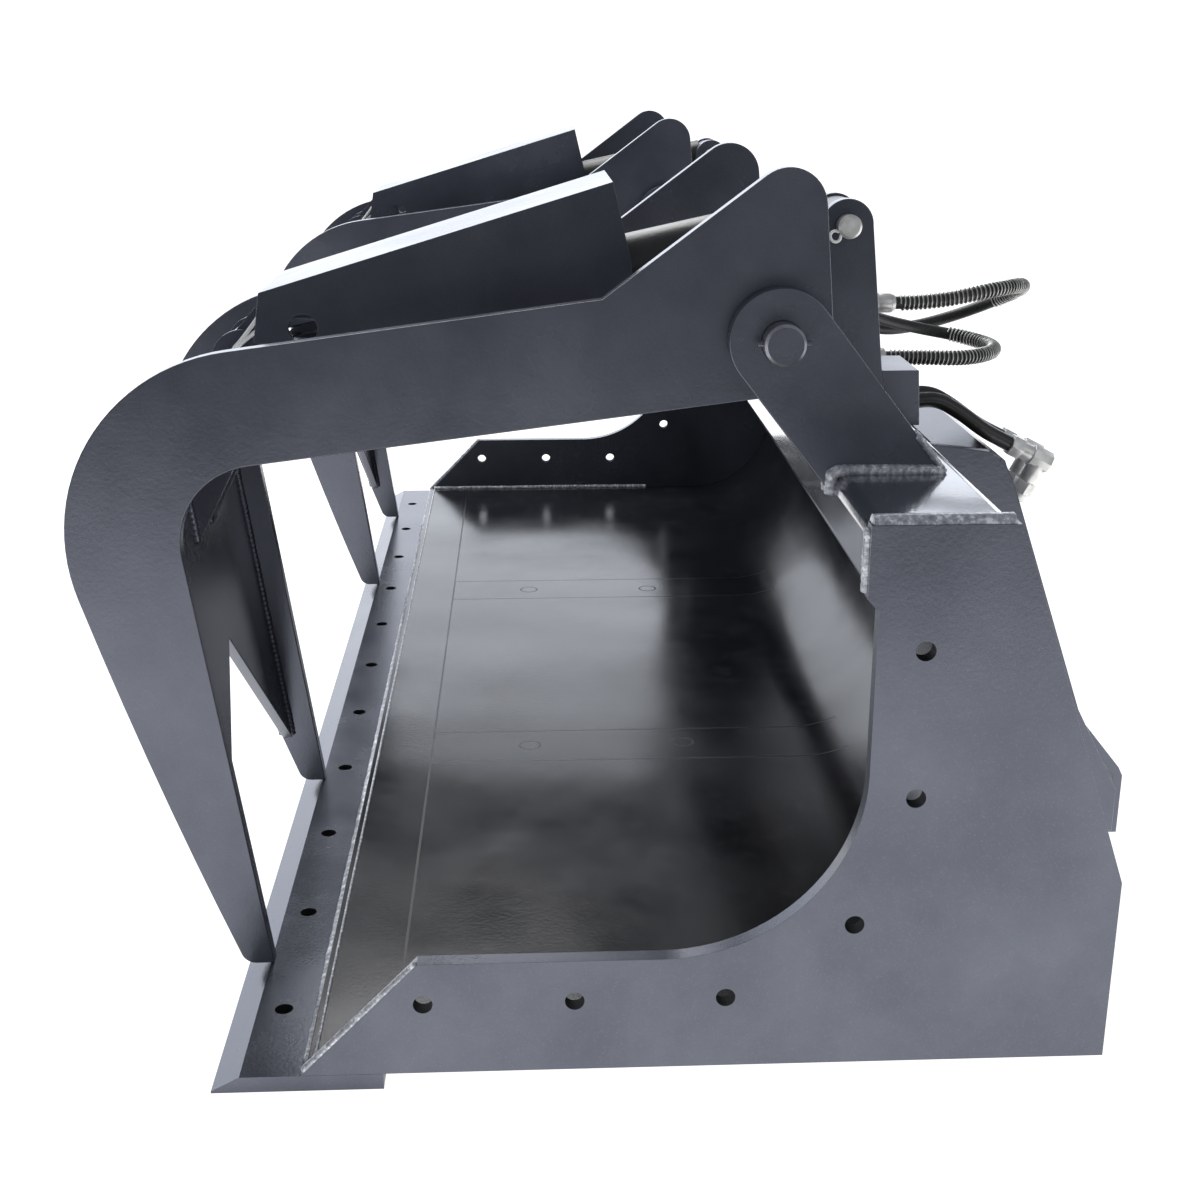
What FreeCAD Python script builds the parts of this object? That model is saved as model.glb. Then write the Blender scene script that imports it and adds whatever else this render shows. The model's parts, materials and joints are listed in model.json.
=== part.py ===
import FreeCAD, Part
import math
import os

import Sketcher
from FreeCAD import Placement, Rotation, Vector

# Grapple bucket for a compact loader: a 66 inch bucket with two hydraulic grapple arms.
# Millimetres. X runs across the bucket, +X to the operator's left. -Y is the cutting edge,
# +Y the loader. Z is up, and the origin lies on the ground under the middle of the floor.

# Driving dimensions: name, value, meaning
DIMENSIONS = [
    ("bucket_width", 1676.4, "overall width over the side plates"),
    ("side_thickness", 12.7, "side plate"),
    ("sheet_thickness", 6.35, "floor, heel and back wall"),
    ("edge_thickness", 12.7, "cutting edge"),
    ("edge_front", -455.0, "front of the cutting edge"),
    ("edge_depth", 125.0, "front to rear of the cutting edge"),
    ("edge_bevel", 21.0, "length of the bevel on top"),
    ("edge_lip", 1.6, "thickness left at the front"),
    ("edge_hole_row", -414.0, "line of the cutting edge's bolt holes"),
    ("edge_hole_pitch", 150.0, "between the cutting edge's bolt holes"),
    ("bolt_hole", 14.0, "diameter of the bolt holes"),
    ("side_hole_pitch", 108.7, "between the side plate's bolt holes"),
    ("rail_hole_y", -191.0, "middle bolt hole of the rail"),
    ("rail_hole_z", 69.5, "bolt holes of the rail"),
    ("upright_hole_y", 46.4, "bolt holes of the upright"),
    ("upright_hole_z", 224.3, "lower bolt hole of the upright"),
    ("knee_hole_forward", 38.0, "bolt hole at the knee in front of the upright's holes"),
    ("knee_hole_down", 98.0, "bolt hole at the knee below the upright's lower hole"),
    ("floor_front", -386.0, "front of the floor sheet"),
    ("wall_lap", 16.0, "how far the back wall reaches up behind the top tube"),
    ("heel_radius", 125.0, "inside of the heel"),
    ("wall_lean", 19.5, "forward lean of the back wall in degrees"),
    ("wear_bar_width", 50.0, "wear bar under the floor"),
    ("wear_bar_gap", 5.0, "cutting edge to the wear bars"),
    ("wear_bar_length", 365.0, "wear bar under the floor"),
    ("wear_bar_pitch", 380.0, "between the wear bars"),
    ("tube_front", 5.0, "front face of the top tube"),
    ("tube_depth", 102.0, "front to rear of the top tube"),
    ("tube_base", 370.0, "underside of the top tube"),
    ("tube_height", 51.0, "height of the top tube"),
    ("tube_wall", 6.0, "wall of the top tube"),
    ("tube_corner", 12.0, "outer corner of the top tube"),
    ("side_nose", -389.6, "front of the side plate at the edge"),
    ("rail_front", -302.8, "front of the side plate's low rail"),
    ("rail_height", 102.0, "top of the low rail"),
    ("side_front", 13.0, "upright front of the side plate"),
    ("side_curve", 140.0, "radius between rail and upright"),
    ("side_rear", 198.5, "rear of the side plate"),
    ("side_rear_knee", 155.0, "height where the rear slopes forward"),
    ("side_corner", 2.5, "clipped upper rear corner of the side plate"),
    ("side_step", 9.0, "step below the tube to the upright's front"),
    ("arm_offset", 500.0, "middle of each arm from the middle of the bucket"),
    ("tine_spacing", 352.0, "between the middles of an arm's two tines"),
    ("tine_thickness", 12.7, "tine plate"),
    ("hinge_y", -36.0, "arm hinge"),
    ("hinge_z", 518.3, "arm hinge"),
    ("hinge_pin", 30.0, "diameter of the arm's hinge pin"),
    ("bush_wall", 6.0, "wall of the hinge bush"),
    ("hinge_pin_proud", 18.0, "hinge pin past the straps"),
    ("cross_pin", 5.0, "diameter of the cross pins in the hinge pin"),
    ("cross_pin_proud", 4.0, "cross pin past the hinge pin"),
    ("pin_chamfer", 2.0, "chamfer at the ends of the pins"),
    ("bush_proud", 2.0, "bush past each face of its tine"),
    ("running_fit", 0.05, "clearance at the radius of a pin in its bush"),
    ("tip_gap", 0.3, "between the tine tips and the cutting edge"),
    ("tip_front", -454.0, "front of the tine tip"),
    ("tip_rear", -431.0, "rear of the tine tip"),
    ("knuckle_y", -416.5, "centre of the tine's knuckle"),
    ("knuckle_z", 366.0, "centre of the tine's knuckle"),
    ("knuckle_outer", 146.5, "outside of the knuckle"),
    ("knuckle_inner", 61.7, "inside of the knuckle"),
    ("beam_slope", 7.5, "slope of the tine's beam in degrees"),
    ("tine_front_lean", 16.0, "lean of the tine's front edge at the knuckle in degrees"),
    ("tine_front_radius", 4100.0, "sweep of the tine's front edge"),
    ("tine_corner", 25.0, "rounded corners of the tine"),
    ("shoulder_y", -164.2, "where the tine's beam rises to the lobe"),
    ("shoulder_slope", 36.6, "slope of the rise to the lobe in degrees"),
    ("lobe_y", -32.0, "centre of the lobe"),
    ("lobe_radius", 27.5, "radius of the lobe"),
    ("heel_y", 7.5, "lower rear corner of the tine"),
    ("heel_z", 481.0, "lower rear corner of the tine"),
    ("tine_rear_lean", 5.1, "lean of the tine's rear edge in degrees"),
    ("strap_width", 76.0, "hinge strap"),
    ("strap_thickness", 12.7, "hinge strap"),
    ("strap_gap", 2.5, "between a strap and its tine"),
    ("strap_lean", 52.0, "slope of the strap in degrees"),
    ("base_pin_y", 39.0, "pin at the foot of the cylinder"),
    ("base_pin_z", 584.0, "pin at the foot of the cylinder"),
    ("rod_pin_y", -447.0, "pin at the rod end of the cylinder"),
    ("rod_pin_z", 479.0, "pin at the rod end of the cylinder"),
    ("cylinder_pin", 19.0, "diameter of the cylinder's pins"),
    ("clevis_gap", 48.0, "between the two plates that hold a cylinder pin"),
    ("clevis_plate", 12.0, "plate that holds a cylinder pin"),
    ("ear_radius", 21.0, "top of the cylinder ears"),
    ("ear_foot", 25.0, "rear of the tube's top to the foot of the ears"),
    ("ear_shoulder", 34.0, "base pin to the ears' rear edge above the manifold box"),
    ("pin_proud", 12.0, "cylinder pin past its plates"),
    ("lug_radius", 28.0, "end of the rod lugs"),
    ("lug_turn", 27.4, "where the lug's lower edge meets its round end in degrees"),
    ("lug_foot_below", 41.0, "foot of the lugs below the knuckle's centre"),
    ("lug_foot_above", 32.0, "foot of the lugs above the knuckle's centre"),
    ("lug_lap", 8.0, "how far the lugs reach under the guard"),
    ("washer_width", 3.0, "washer on the rod pin"),
    ("washer_gap", 0.3, "between a washer and its lug"),
    ("washer_outside", 52.0, "washer on the rod pin"),
    ("lug_play", 7.6, "clearance at the radius of the rod pin's holes"),
    ("barrel_diameter", 57.2, "outside of the cylinder barrel"),
    ("cylinder_bore", 50.8, "bore of the cylinder"),
    ("barrel_length", 350.0, "base pin to the front of the barrel"),
    ("neck_length", 30.0, "base pin to the barrel's full diameter"),
    ("cap_thickness", 7.0, "closed end of the barrel past its neck"),
    ("gland_flange", 15.0, "gland in front of the barrel"),
    ("gland_spigot", 30.0, "gland inside the barrel"),
    ("gland_chamfer", 3.0, "front edge of the gland"),
    ("saddle_depth", 8.0, "how deep an eye sits in the piece that it is welded to"),
    ("rod_diameter", 30.0, "cylinder rod"),
    ("piston_width", 25.0, "piston"),
    ("piston_place", 137.0, "base pin to the rear face of the piston with the arm closed"),
    ("stub_diameter", 20.0, "rod end through the piston"),
    ("nut_width", 14.0, "piston nut"),
    ("nut_share", 0.75, "corner radius of the piston nut for each millimetre of its thread"),
    ("eye_outside", 38.0, "outside of the cylinder's base eye"),
    ("rod_eye_outside", 46.0, "outside of the rod eye"),
    ("eye_side_gap", 1.5, "between a cylinder eye and the plate beside it"),
    ("web_thickness", 10.0, "plate between the tines"),
    ("web_lean", 7.5, "lean of the plate between the tines in degrees"),
    ("web_foot", -453.1, "rear face of that plate, produced to the ground"),
    ("web_top", 401.0, "top of that plate along its slope"),
    ("notch_top", 231.0, "top of its notch along its slope"),
    ("notch_foot", 61.5, "where the notch meets the tines along its slope"),
    ("guard_width", 140.0, "cylinder guard"),
    ("guard_plate", 6.0, "cylinder guard"),
    ("guard_front_y", -427.0, "front of the guard"),
    ("guard_over_rod_pin", 59.0, "front of the guard above the rod pin"),
    ("guard_rear_y", -151.0, "rear of the guard"),
    ("guard_over_base_pin", 37.0, "rear of the guard above the base pin"),
    ("guard_nose", 6.0, "lower front corner of the guard's sides in front of its top"),
    ("guard_front_depth", 39.0, "guard's sides at the front"),
    ("guard_tail", 15.0, "guard's sides behind its top"),
    ("guard_rear_depth", 78.0, "guard's sides at the rear"),
    ("guard_hole", 23.0, "round hole in the guard's sides"),
    ("guard_hole_back", 33.0, "that hole behind the guard's front"),
    ("guard_hole_down", 28.0, "that hole below the guard's front edge"),
    ("seat_gap", 0.1, "between the guard's saddles and the tie tube"),
    ("tie_diameter", 38.0, "tube between the tines under the guard"),
    ("tie_wall", 5.0, "wall of the tube between the tines"),
    ("tie_y", -215.0, "tube between the tines"),
    ("tie_z", 475.0, "tube between the tines"),
    ("attach_width", 1143.0, "quick-attach frame"),
    ("attach_lean", 19.8, "lean of the quick-attach face in degrees"),
    ("attach_y", 193.6, "a point on the quick-attach face"),
    ("attach_z", 342.6, "a point on the quick-attach face"),
    ("attach_recess", 30.0, "face of the quick-attach plate behind the hook's lip"),
    ("attach_plate_thickness", 8.0, "quick-attach plate"),
    ("gusset_thickness", 10.0, "quick-attach gusset"),
    ("flange_thickness", 8.0, "quick-attach bottom flange"),
    ("slot_spacing", 794.0, "between the wedge slots"),
    ("plate_above", 55.0, "top of the quick-attach plate above the middle of the face"),
    ("plate_below", 100.0, "foot of the quick-attach plate below the middle of the face"),
    ("hook_depth", 26.0, "hook's lip below the top of the plate"),
    ("hook_lip", 8.0, "thickness of the hook's lip"),
    ("hook_bend", 2.0, "height of the hook's bend"),
    ("gusset_top", 72.0, "top of the gusset above the middle of the face"),
    ("gusset_brow", 38.0, "where the gusset's top turns in, above the middle of the face"),
    ("gusset_below", 176.0, "foot of the gusset's face below the middle of the face"),
    ("gusset_foot", 60.0, "underside of the gussets"),
    ("gusset_toe", 40.0, "rear lower corner of the gussets"),
    ("gusset_inset", 14.0, "gusset's foot from the heel"),
    ("rib_top", 25.0, "top of the ribs from the middle of the face"),
    ("rib_foot", 96.0, "foot of the ribs below the middle of the face"),
    ("flange_slope", 50.8, "slope of the bottom flange in degrees"),
    ("flange_rear", 302.0, "rear of the bottom flange"),
    ("flange_foot", 54.0, "foot of the bottom flange"),
    ("slot_above_foot", 38.0, "wedge slots above the foot of the flange"),
    ("slot_length", 50.0, "wedge slot"),
    ("slot_height", 28.0, "wedge slot"),
    ("hose_diameter", 11.0, "hydraulic hose"),
    ("pipe_diameter", 10.0, "steel hydraulic pipe"),
    ("line_inboard", 46.0, "lines on the cylinder from the arm's middle, towards the bucket's middle"),
    ("port_outside", 22.0, "boss of a port on the barrel"),
    ("port_face", 37.0, "face of a port from the barrel's axis"),
    ("base_port", 62.0, "base pin to the rear port"),
    ("gland_port", 333.0, "base pin to the front port"),
    ("port_foot", 18.0, "inner end of a port before it is shaped to the barrel"),
    ("outlet_outside", 15.0, "outlet of the rear elbow"),
    ("line_bend", 32.0, "length of each bend of the pipe on the cylinder"),
    ("elbow_outside", 18.0, "elbow on a port"),
    ("elbow_slope", 15.0, "downward slope of the rear elbow's outlet in degrees"),
    ("hose_straight", 22.0, "straight end of a hose at the cylinder"),
    ("outlet_straight", 33.0, "straight end of a hose at the port block"),
    ("elbow_reach", 22.0, "centre of the rear elbow to its outlet"),
    ("line_drop", 20.0, "pipe on the cylinder below the barrel's axis"),
    ("line_end", 104.0, "base pin to the rear end of the pipe on the cylinder"),
    ("ferrule_outside", 17.0, "swaged end of a hose"),
    ("ferrule_length", 20.0, "swaged end of a hose"),
    ("block_front", 50.0, "front face of the port block beside the ears"),
    ("block_rear", 70.0, "upper rear face of the port block"),
    ("block_top", 522.0, "top of the port block"),
    ("block_foot", 104.0, "rear of the port block's foot"),
    ("lower_outlet_face", 84.0, "rear face of the port block at the lower outlet"),
    ("block_width", 34.0, "port block"),
    ("outlet_nut", 21.0, "nut of a hose outlet"),
    ("outlet_inboard", 55.0, "hose outlets from the arm's middle, towards the bucket's middle"),
    ("upper_outlet_z", 509.5, "upper hose outlet"),
    ("upper_outlet_end", 101.0, "rear end of the upper outlet's fitting"),
    ("lower_outlet_z", 462.0, "lower hose outlet"),
    ("lower_outlet_end", 95.0, "rear end of the lower outlet's fitting"),
    ("box_height", 46.0, "manifold box behind the ears"),
    ("box_rear", 104.0, "upper rear edge of the manifold box"),
    ("upper_line_y", 78.0, "upper crossover pipe"),
    ("upper_line_z", 446.0, "upper crossover pipe"),
    ("lower_line_y", 97.0, "lower crossover pipe"),
    ("lower_line_z", 431.0, "lower crossover pipe"),
    ("supply_diameter", 13.0, "supply pipe behind the manifold box"),
    ("supply_spacing", 28.0, "between the two supply pipes"),
    ("supply_straight", 22.0, "straight end of a supply pipe at the manifold box"),
    ("supply_shift", 6.0, "middle of the supply pipes from the arm's middle"),
    ("supply_z", 436.0, "supply pipes where they leave the manifold box"),
    ("supply_elbow", 20.0, "supply elbow"),
    ("supply_elbow_drop", 40.0, "supply elbow's outlet below its middle"),
]

doc = FreeCAD.newDocument("GrappleBucket")
sheet = doc.addObject("Spreadsheet::Sheet", "Sizes")


class Size:
    """A number together with the spreadsheet formula that gives it."""

    def __init__(self, number, formula):
        self.number = number
        self.formula = formula

    def __add__(self, other):
        other = as_size(other)
        return Size(self.number + other.number, f"({self.formula} + {other.formula})")

    def __sub__(self, other):
        other = as_size(other)
        return Size(self.number - other.number, f"({self.formula} - {other.formula})")

    def __mul__(self, other):
        other = as_size(other)
        return Size(self.number * other.number, f"({self.formula} * {other.formula})")

    def __truediv__(self, other):
        other = as_size(other)
        return Size(self.number / other.number, f"({self.formula} / {other.formula})")

    def __neg__(self):
        return Size(-self.number, f"(0 - {self.formula})")

    def __radd__(self, other):
        return as_size(other) + self

    def __rsub__(self, other):
        return as_size(other) - self

    def __rmul__(self, other):
        return as_size(other) * self


def as_size(item):
    return item if isinstance(item, Size) else Size(float(item), f"({float(item)})")


def sine(angle):
    return Size(math.sin(math.radians(angle.number)), f"sin({angle.formula} * 1 deg)")


def cosine(angle):
    return Size(math.cos(math.radians(angle.number)), f"cos({angle.formula} * 1 deg)")


def tangent(angle):
    return sine(angle) / cosine(angle)


def root(area):
    return Size(math.sqrt(area.number), f"sqrt({area.formula})")


class Dimensions:
    """The spreadsheet's cells by name."""


d = Dimensions()
for row, (alias, number, meaning) in enumerate(DIMENSIONS, start=1):
    sheet.set(f"A{row}", meaning)
    sheet.set(f"B{row}", str(number))
    sheet.setAlias(f"B{row}", alias)
    setattr(d, alias, Size(number, f"Sizes.{alias}"))
doc.recompute()

parts = []


def keep(item):
    parts.append(item)
    return item


def new_body(label):
    body = doc.addObject("PartDesign::Body", label)
    body.Label = label
    return body


def plane_of(body, role):
    return [(feature, "") for feature in body.Origin.OriginFeatures if feature.Role == role]


def bind(sketch, kind, parts_of_it, size):
    """Add one dimension to a sketch and tie it to the spreadsheet."""
    index = sketch.addConstraint(Sketcher.Constraint(kind, *parts_of_it, size.number))
    sketch.setExpression(f"Constraints[{index}]", size.formula)


def arc_between(start, end, radius, turn):
    """The short arc from start to end, as Sketcher keeps it: anticlockwise about its centre."""
    chord = end - start
    left = Vector(-chord.y, chord.x, 0).normalize() * turn
    centre = (start + end) * 0.5 + left * math.sqrt(max(radius ** 2 - (chord.Length / 2) ** 2, 0))
    first, last = (start, end) if turn > 0 else (end, start)
    angles = [math.atan2(point.y - centre.y, point.x - centre.x) for point in (first, last)]
    circle = Part.Circle(centre, Vector(0, 0, 1), radius)
    return Part.ArcOfCircle(circle, *angles)


def draw(body, role, corners, holes=()):
    """One closed outline and round holes on one of the body's origin planes.

    A corner is (across, up), or (across, up, radius, turn) where the side that leaves it is an arc.
    A hole is (across, up, radius)."""
    sketch = body.newObject("Sketcher::SketchObject", body.Label + "_sketch")
    sketch.AttachmentSupport = plane_of(body, role)
    sketch.MapMode = "FlatFace"
    corners = [tuple(as_size(item) for item in corner[:2]) + tuple(corner[2:]) for corner in corners]
    places = [Vector(across.number, up.number, 0) for across, up, *bend in corners]
    ends = []
    for index, corner in enumerate(corners):
        start, end = places[index], places[(index + 1) % len(places)]
        if len(corner) == 2:
            sketch.addGeometry(Part.LineSegment(start, end), False)
            ends.append((1, 2))
            continue
        radius, turn = as_size(corner[2]).number, corner[3]
        sketch.addGeometry(arc_between(start, end, radius, turn), False)
        ends.append((1, 2) if turn > 0 else (2, 1))
    for index in range(len(corners)):
        after = (index + 1) % len(corners)
        joint = Sketcher.Constraint("Coincident", index, ends[index][1], after, ends[after][0])
        sketch.addConstraint(joint)
    for index, corner in enumerate(corners):
        bind(sketch, "DistanceX", (-1, 1, index, ends[index][0]), corner[0])
        bind(sketch, "DistanceY", (-1, 1, index, ends[index][0]), corner[1])
        if len(corner) > 2:
            bind(sketch, "Radius", (index,), as_size(corner[2]))
    for across, up, radius in holes:
        across, up, radius = as_size(across), as_size(up), as_size(radius)
        circle = Part.Circle(Vector(across.number, up.number, 0), Vector(0, 0, 1), radius.number)
        index = sketch.addGeometry(circle, False)
        bind(sketch, "DistanceX", (-1, 1, index, 3), across)
        bind(sketch, "DistanceY", (-1, 1, index, 3), up)
        bind(sketch, "Radius", (index,), radius)
    return sketch


def pad(body, sketch, thickness):
    """Thicken a sketch equally to both sides."""
    feature = body.newObject("PartDesign::Pad", body.Label + "_pad")
    feature.Profile = sketch
    feature.SideType = "Symmetric"
    feature.setExpression("Length", as_size(thickness).formula)
    doc.recompute()
    return feature


def cut_through(body, sketch):
    """Cut a sketch through the whole body to both sides, and make sure that it cut."""
    before = body.Shape.Volume
    feature = body.newObject("PartDesign::Pocket", body.Label + "_cut")
    feature.Profile = sketch
    feature.Type = "ThroughAll"
    feature.SideType = "Symmetric"
    doc.recompute()
    if body.Shape.Volume >= before:
        raise ValueError(f"{body.Label}: the cut removes nothing")
    return feature


def place(item, x=0, y=0, z=0, turn=Rotation()):
    """Put a piece in its place and tie the place to the spreadsheet."""
    sizes = [as_size(value) for value in (x, y, z)]
    item.Placement = Placement(Vector(*[size.number for size in sizes]), turn)
    for axis, size in zip("xyz", sizes):
        item.setExpression(f".Placement.Base.{axis}", size.formula)
    return item


def plate(label, thickness, corners, holes=(), x=0):
    """A flat plate that stands across X, from its outline in Y and Z."""
    body = new_body(label)
    pad(body, draw(body, "YZ_Plane", corners, holes), thickness)
    return place(body, x)


def turned(label, profile):
    """A solid of revolution about its own X axis from (along, radius) corners."""
    body = new_body(label)
    feature = body.newObject("PartDesign::Revolution", label + "_turning")
    feature.Profile = draw(body, "XY_Plane", profile)
    feature.ReferenceAxis = (feature.Profile[0], ["H_Axis"])
    feature.Angle = 360
    doc.recompute()
    return body


def ring(label, outer, inner, width):
    """A ring about its own X axis, centred on its origin."""
    half = width / 2
    return turned(label, [(-half, inner), (half, inner), (half, outer), (-half, outer)])


def pin(label, radius, half_length, chamfer):
    """A chamfered pin along X, centred on its origin."""
    return turned(label, [(-half_length, 0), (half_length, 0), (half_length, radius - chamfer),
                          (half_length - chamfer, radius), (chamfer - half_length, radius),
                          (-half_length, radius - chamfer)])


def bar(label, radius, length, turn):
    """A small round bar along Z, turned about its own middle."""
    body = new_body(label)
    pad(body, draw(body, "XY_Plane", [(-radius, 0, radius, 1), (0, -radius, radius, 1),
                                      (radius, 0, radius, 1), (0, radius, radius, 1)]), length)
    body.Placement.Rotation = turn
    return body


def group(label, items):
    """Several separate solids under one name."""
    compound = doc.addObject("Part::Compound", label)
    compound.Label = label
    compound.Links = items
    doc.recompute()
    return keep(compound)


def fillet(body, radius, spots, tolerance=0.01):
    """Round the edges along X that pass through the given (y, z) spots."""
    base = body.Tip
    names = []
    for y, z in spots:
        y, z = as_size(y).number, as_size(z).number
        for index, edge in enumerate(base.Shape.Edges, start=1):
            ends = [vertex.Point for vertex in edge.Vertexes]
            if len(ends) == 2 and abs(ends[0].x - ends[1].x) > 1:
                if all(math.hypot(end.y - y, end.z - z) < tolerance for end in ends):
                    names.append(f"Edge{index}")
    if len(names) != len(spots):
        raise ValueError(f"{body.Label}: {len(names)} of {len(spots)} edges found")
    feature = body.newObject("PartDesign::Fillet", body.Label + "_fillet")
    feature.Base = (base, names)
    feature.setExpression("Radius", as_size(radius).formula)
    doc.recompute()
    return feature


# Bucket

half_width = d.bucket_width / 2
inner_half = half_width - d.side_thickness
floor_base = d.edge_thickness
floor_top = d.edge_thickness + d.sheet_thickness
tube_top = d.tube_base + d.tube_height
tube_rear = d.tube_front + d.tube_depth
wall_cos = cosine(d.wall_lean)
wall_sin = sine(d.wall_lean)

# The back wall's inside face meets the tube's rear face where that face's upper half begins.
wall_top = d.tube_base + d.wall_lap
wall_reach = tube_rear * wall_cos + wall_top * wall_sin
heel_z_centre = floor_top + d.heel_radius
heel_y_centre = (wall_reach - d.heel_radius - heel_z_centre * wall_sin) / wall_cos
outer_radius = d.heel_radius + d.sheet_thickness


def bucket_shell():
    body = new_body("bucket_shell")
    corners = [
        (d.floor_front, floor_base),
        (heel_y_centre, floor_base, outer_radius, 1),
        (heel_y_centre + outer_radius * wall_cos, heel_z_centre + outer_radius * wall_sin),
        (tube_rear, wall_top + d.sheet_thickness / wall_sin),
        (tube_rear, wall_top),
        (heel_y_centre + d.heel_radius * wall_cos, heel_z_centre + d.heel_radius * wall_sin,
         d.heel_radius, -1),
        (heel_y_centre, floor_top),
        (d.floor_front, floor_top),
    ]
    pad(body, draw(body, "YZ_Plane", corners), inner_half * 2)
    keep(place(body))


def side_plate(side, sign):
    bolt_places = [(d.rail_hole_y + d.side_hole_pitch * step, d.rail_hole_z) for step in (-1, 0, 1)]
    bolt_places += [(d.upright_hole_y, d.upright_hole_z + d.side_hole_pitch * step) for step in (0, 1)]
    bolt_places.append((d.upright_hole_y - d.knee_hole_forward, d.upright_hole_z - d.knee_hole_down))
    corners = [
        (d.side_nose, floor_base),
        (d.side_rear, floor_base),
        (d.side_rear, d.side_rear_knee),
        (tube_rear, tube_top - d.side_corner),
        (tube_rear - d.side_corner, tube_top),
        (d.tube_front, tube_top),
        (d.tube_front, d.tube_base),
        (d.side_front, d.tube_base - d.side_step),
        (d.side_front, d.rail_height + d.side_curve, d.side_curve, -1),
        (d.side_front - d.side_curve, d.rail_height),
        (d.rail_front, d.rail_height),
    ]
    holes = [(y, z, d.bolt_hole / 2) for y, z in bolt_places]
    keep(plate(f"side_plate_{side}", d.side_thickness, corners, holes,
               (half_width - d.side_thickness / 2) * sign))


def cutting_edge():
    body = new_body("cutting_edge")
    rear = d.edge_front + d.edge_depth
    corners = [
        (d.edge_front, 0),
        (rear, 0),
        (rear, d.edge_thickness),
        (d.edge_front + d.edge_bevel, d.edge_thickness),
        (d.edge_front, d.edge_lip),
    ]
    pad(body, draw(body, "YZ_Plane", corners), d.bucket_width)
    sketch = body.newObject("Sketcher::SketchObject", "edge_holes")
    sketch.AttachmentSupport = plane_of(body, "XY_Plane")
    sketch.MapMode = "FlatFace"
    for step in range(-5, 6):
        hole_x = d.edge_hole_pitch * step
        circle = Part.Circle(Vector(hole_x.number, d.edge_hole_row.number, 0), Vector(0, 0, 1),
                             d.bolt_hole.number / 2)
        index = sketch.addGeometry(circle, False)
        bind(sketch, "DistanceX", (-1, 1, index, 3), hole_x)
        bind(sketch, "DistanceY", (-1, 1, index, 3), d.edge_hole_row)
        bind(sketch, "Radius", (index,), d.bolt_hole / 2)
    cut_through(body, sketch)
    keep(place(body))


def wear_bars():
    front = d.edge_front + d.edge_depth + d.wear_bar_gap
    rear = front + d.wear_bar_length
    corners = [(front, 0), (rear, 0), (rear, d.edge_thickness), (front, d.edge_thickness)]
    bars = [plate(f"wear_bar_{step + 3}", d.wear_bar_width, corners, (), d.wear_bar_pitch * step)
            for step in range(-2, 3)]
    group("wear_bars", bars)


def top_tube():
    body = new_body("top_tube")

    def box(inset, radius):
        low_y, high_y = d.tube_front + inset, tube_rear - inset
        low_z, high_z = d.tube_base + inset, tube_top - inset
        return [(low_y + radius, low_z), (high_y - radius, low_z, radius, 1),
                (high_y, low_z + radius), (high_y, high_z - radius, radius, 1),
                (high_y - radius, high_z), (low_y + radius, high_z, radius, 1),
                (low_y, high_z - radius), (low_y, low_z + radius, radius, 1)]

    pad(body, draw(body, "YZ_Plane", box(as_size(0), d.tube_corner)), inner_half * 2)
    cut_through(body, draw(body, "YZ_Plane", box(d.tube_wall, d.tube_corner - d.tube_wall)))
    keep(place(body))


# Places across the arm, from its own middle
tine_inner_face = d.tine_spacing / 2 - d.tine_thickness / 2
strap_middle = d.tine_spacing / 2 + d.tine_thickness / 2 + d.strap_gap + d.strap_thickness / 2
clevis_middle = d.clevis_gap / 2 + d.clevis_plate / 2
clevis_face = d.clevis_gap / 2 + d.clevis_plate


def hinge_straps(side, middle):
    """Two straps, each outside one tine, from the hinge down over the tube's front corner."""
    along = (cosine(d.strap_lean), -sine(d.strap_lean))
    half = d.strap_width / 2
    left = (d.hinge_y - half * sine(d.strap_lean), d.hinge_z - half * cosine(d.strap_lean))
    right = (d.hinge_y + half * sine(d.strap_lean), d.hinge_z + half * cosine(d.strap_lean))
    top = (d.hinge_y - half * along[0], d.hinge_z - half * along[1])
    slope = along[0] / along[1]
    corners = [
        left,
        (d.tube_front, left[1] + (d.tube_front - left[0]) / slope),
        (d.tube_front, tube_top),
        (right[0] + (tube_top - right[1]) * slope, tube_top),
        (right[0], right[1], half, 1),
        (top[0], top[1], half, 1),
    ]
    hole = [(d.hinge_y, d.hinge_z, d.hinge_pin / 2 + d.running_fit)]
    straps = [plate(f"strap_{side}_{name}", d.strap_thickness, corners, hole, middle + strap_middle * sign)
              for name, sign in (("outer", 1), ("inner", -1))]
    group(f"hinge_straps_{side}", straps)


def hinge_pin(side, middle):
    """One pin through both straps and both tines, with a cross pin outside each strap."""
    half = strap_middle + d.strap_thickness / 2 + d.hinge_pin_proud
    shaft = pin(f"hinge_pin_{side}", d.hinge_pin / 2, half, d.pin_chamfer)
    cross_radius = d.cross_pin / 2
    cross_place = half - d.hinge_pin_proud / 2
    for sign in (1, -1):
        hole = shaft.newObject("Sketcher::SketchObject", f"cross_hole_{side}_{sign}")
        hole.AttachmentSupport = plane_of(shaft, "XZ_Plane")
        hole.MapMode = "FlatFace"
        circle = Part.Circle(Vector(cross_place.number * sign, 0, 0), Vector(0, 0, 1), cross_radius.number)
        index = hole.addGeometry(circle, False)
        bind(hole, "DistanceX", (-1, 1, index, 3), cross_place * sign)
        bind(hole, "DistanceY", (-1, 1, index, 3), as_size(0))
        bind(hole, "Radius", (index,), cross_radius)
        cut_through(shaft, hole)
    keep(place(shaft, middle, d.hinge_y, d.hinge_z))
    for name, sign in (("outer", 1), ("inner", -1)):
        item = bar(f"cross_pin_{side}_{name}", cross_radius - d.running_fit, d.hinge_pin + d.cross_pin_proud * 2,
                   Rotation(Vector(1, 0, 0), 90))
        cross_pins.append(place(item, middle + cross_place * sign, d.hinge_y, d.hinge_z,
                                Rotation(Vector(1, 0, 0), 90)))


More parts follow.
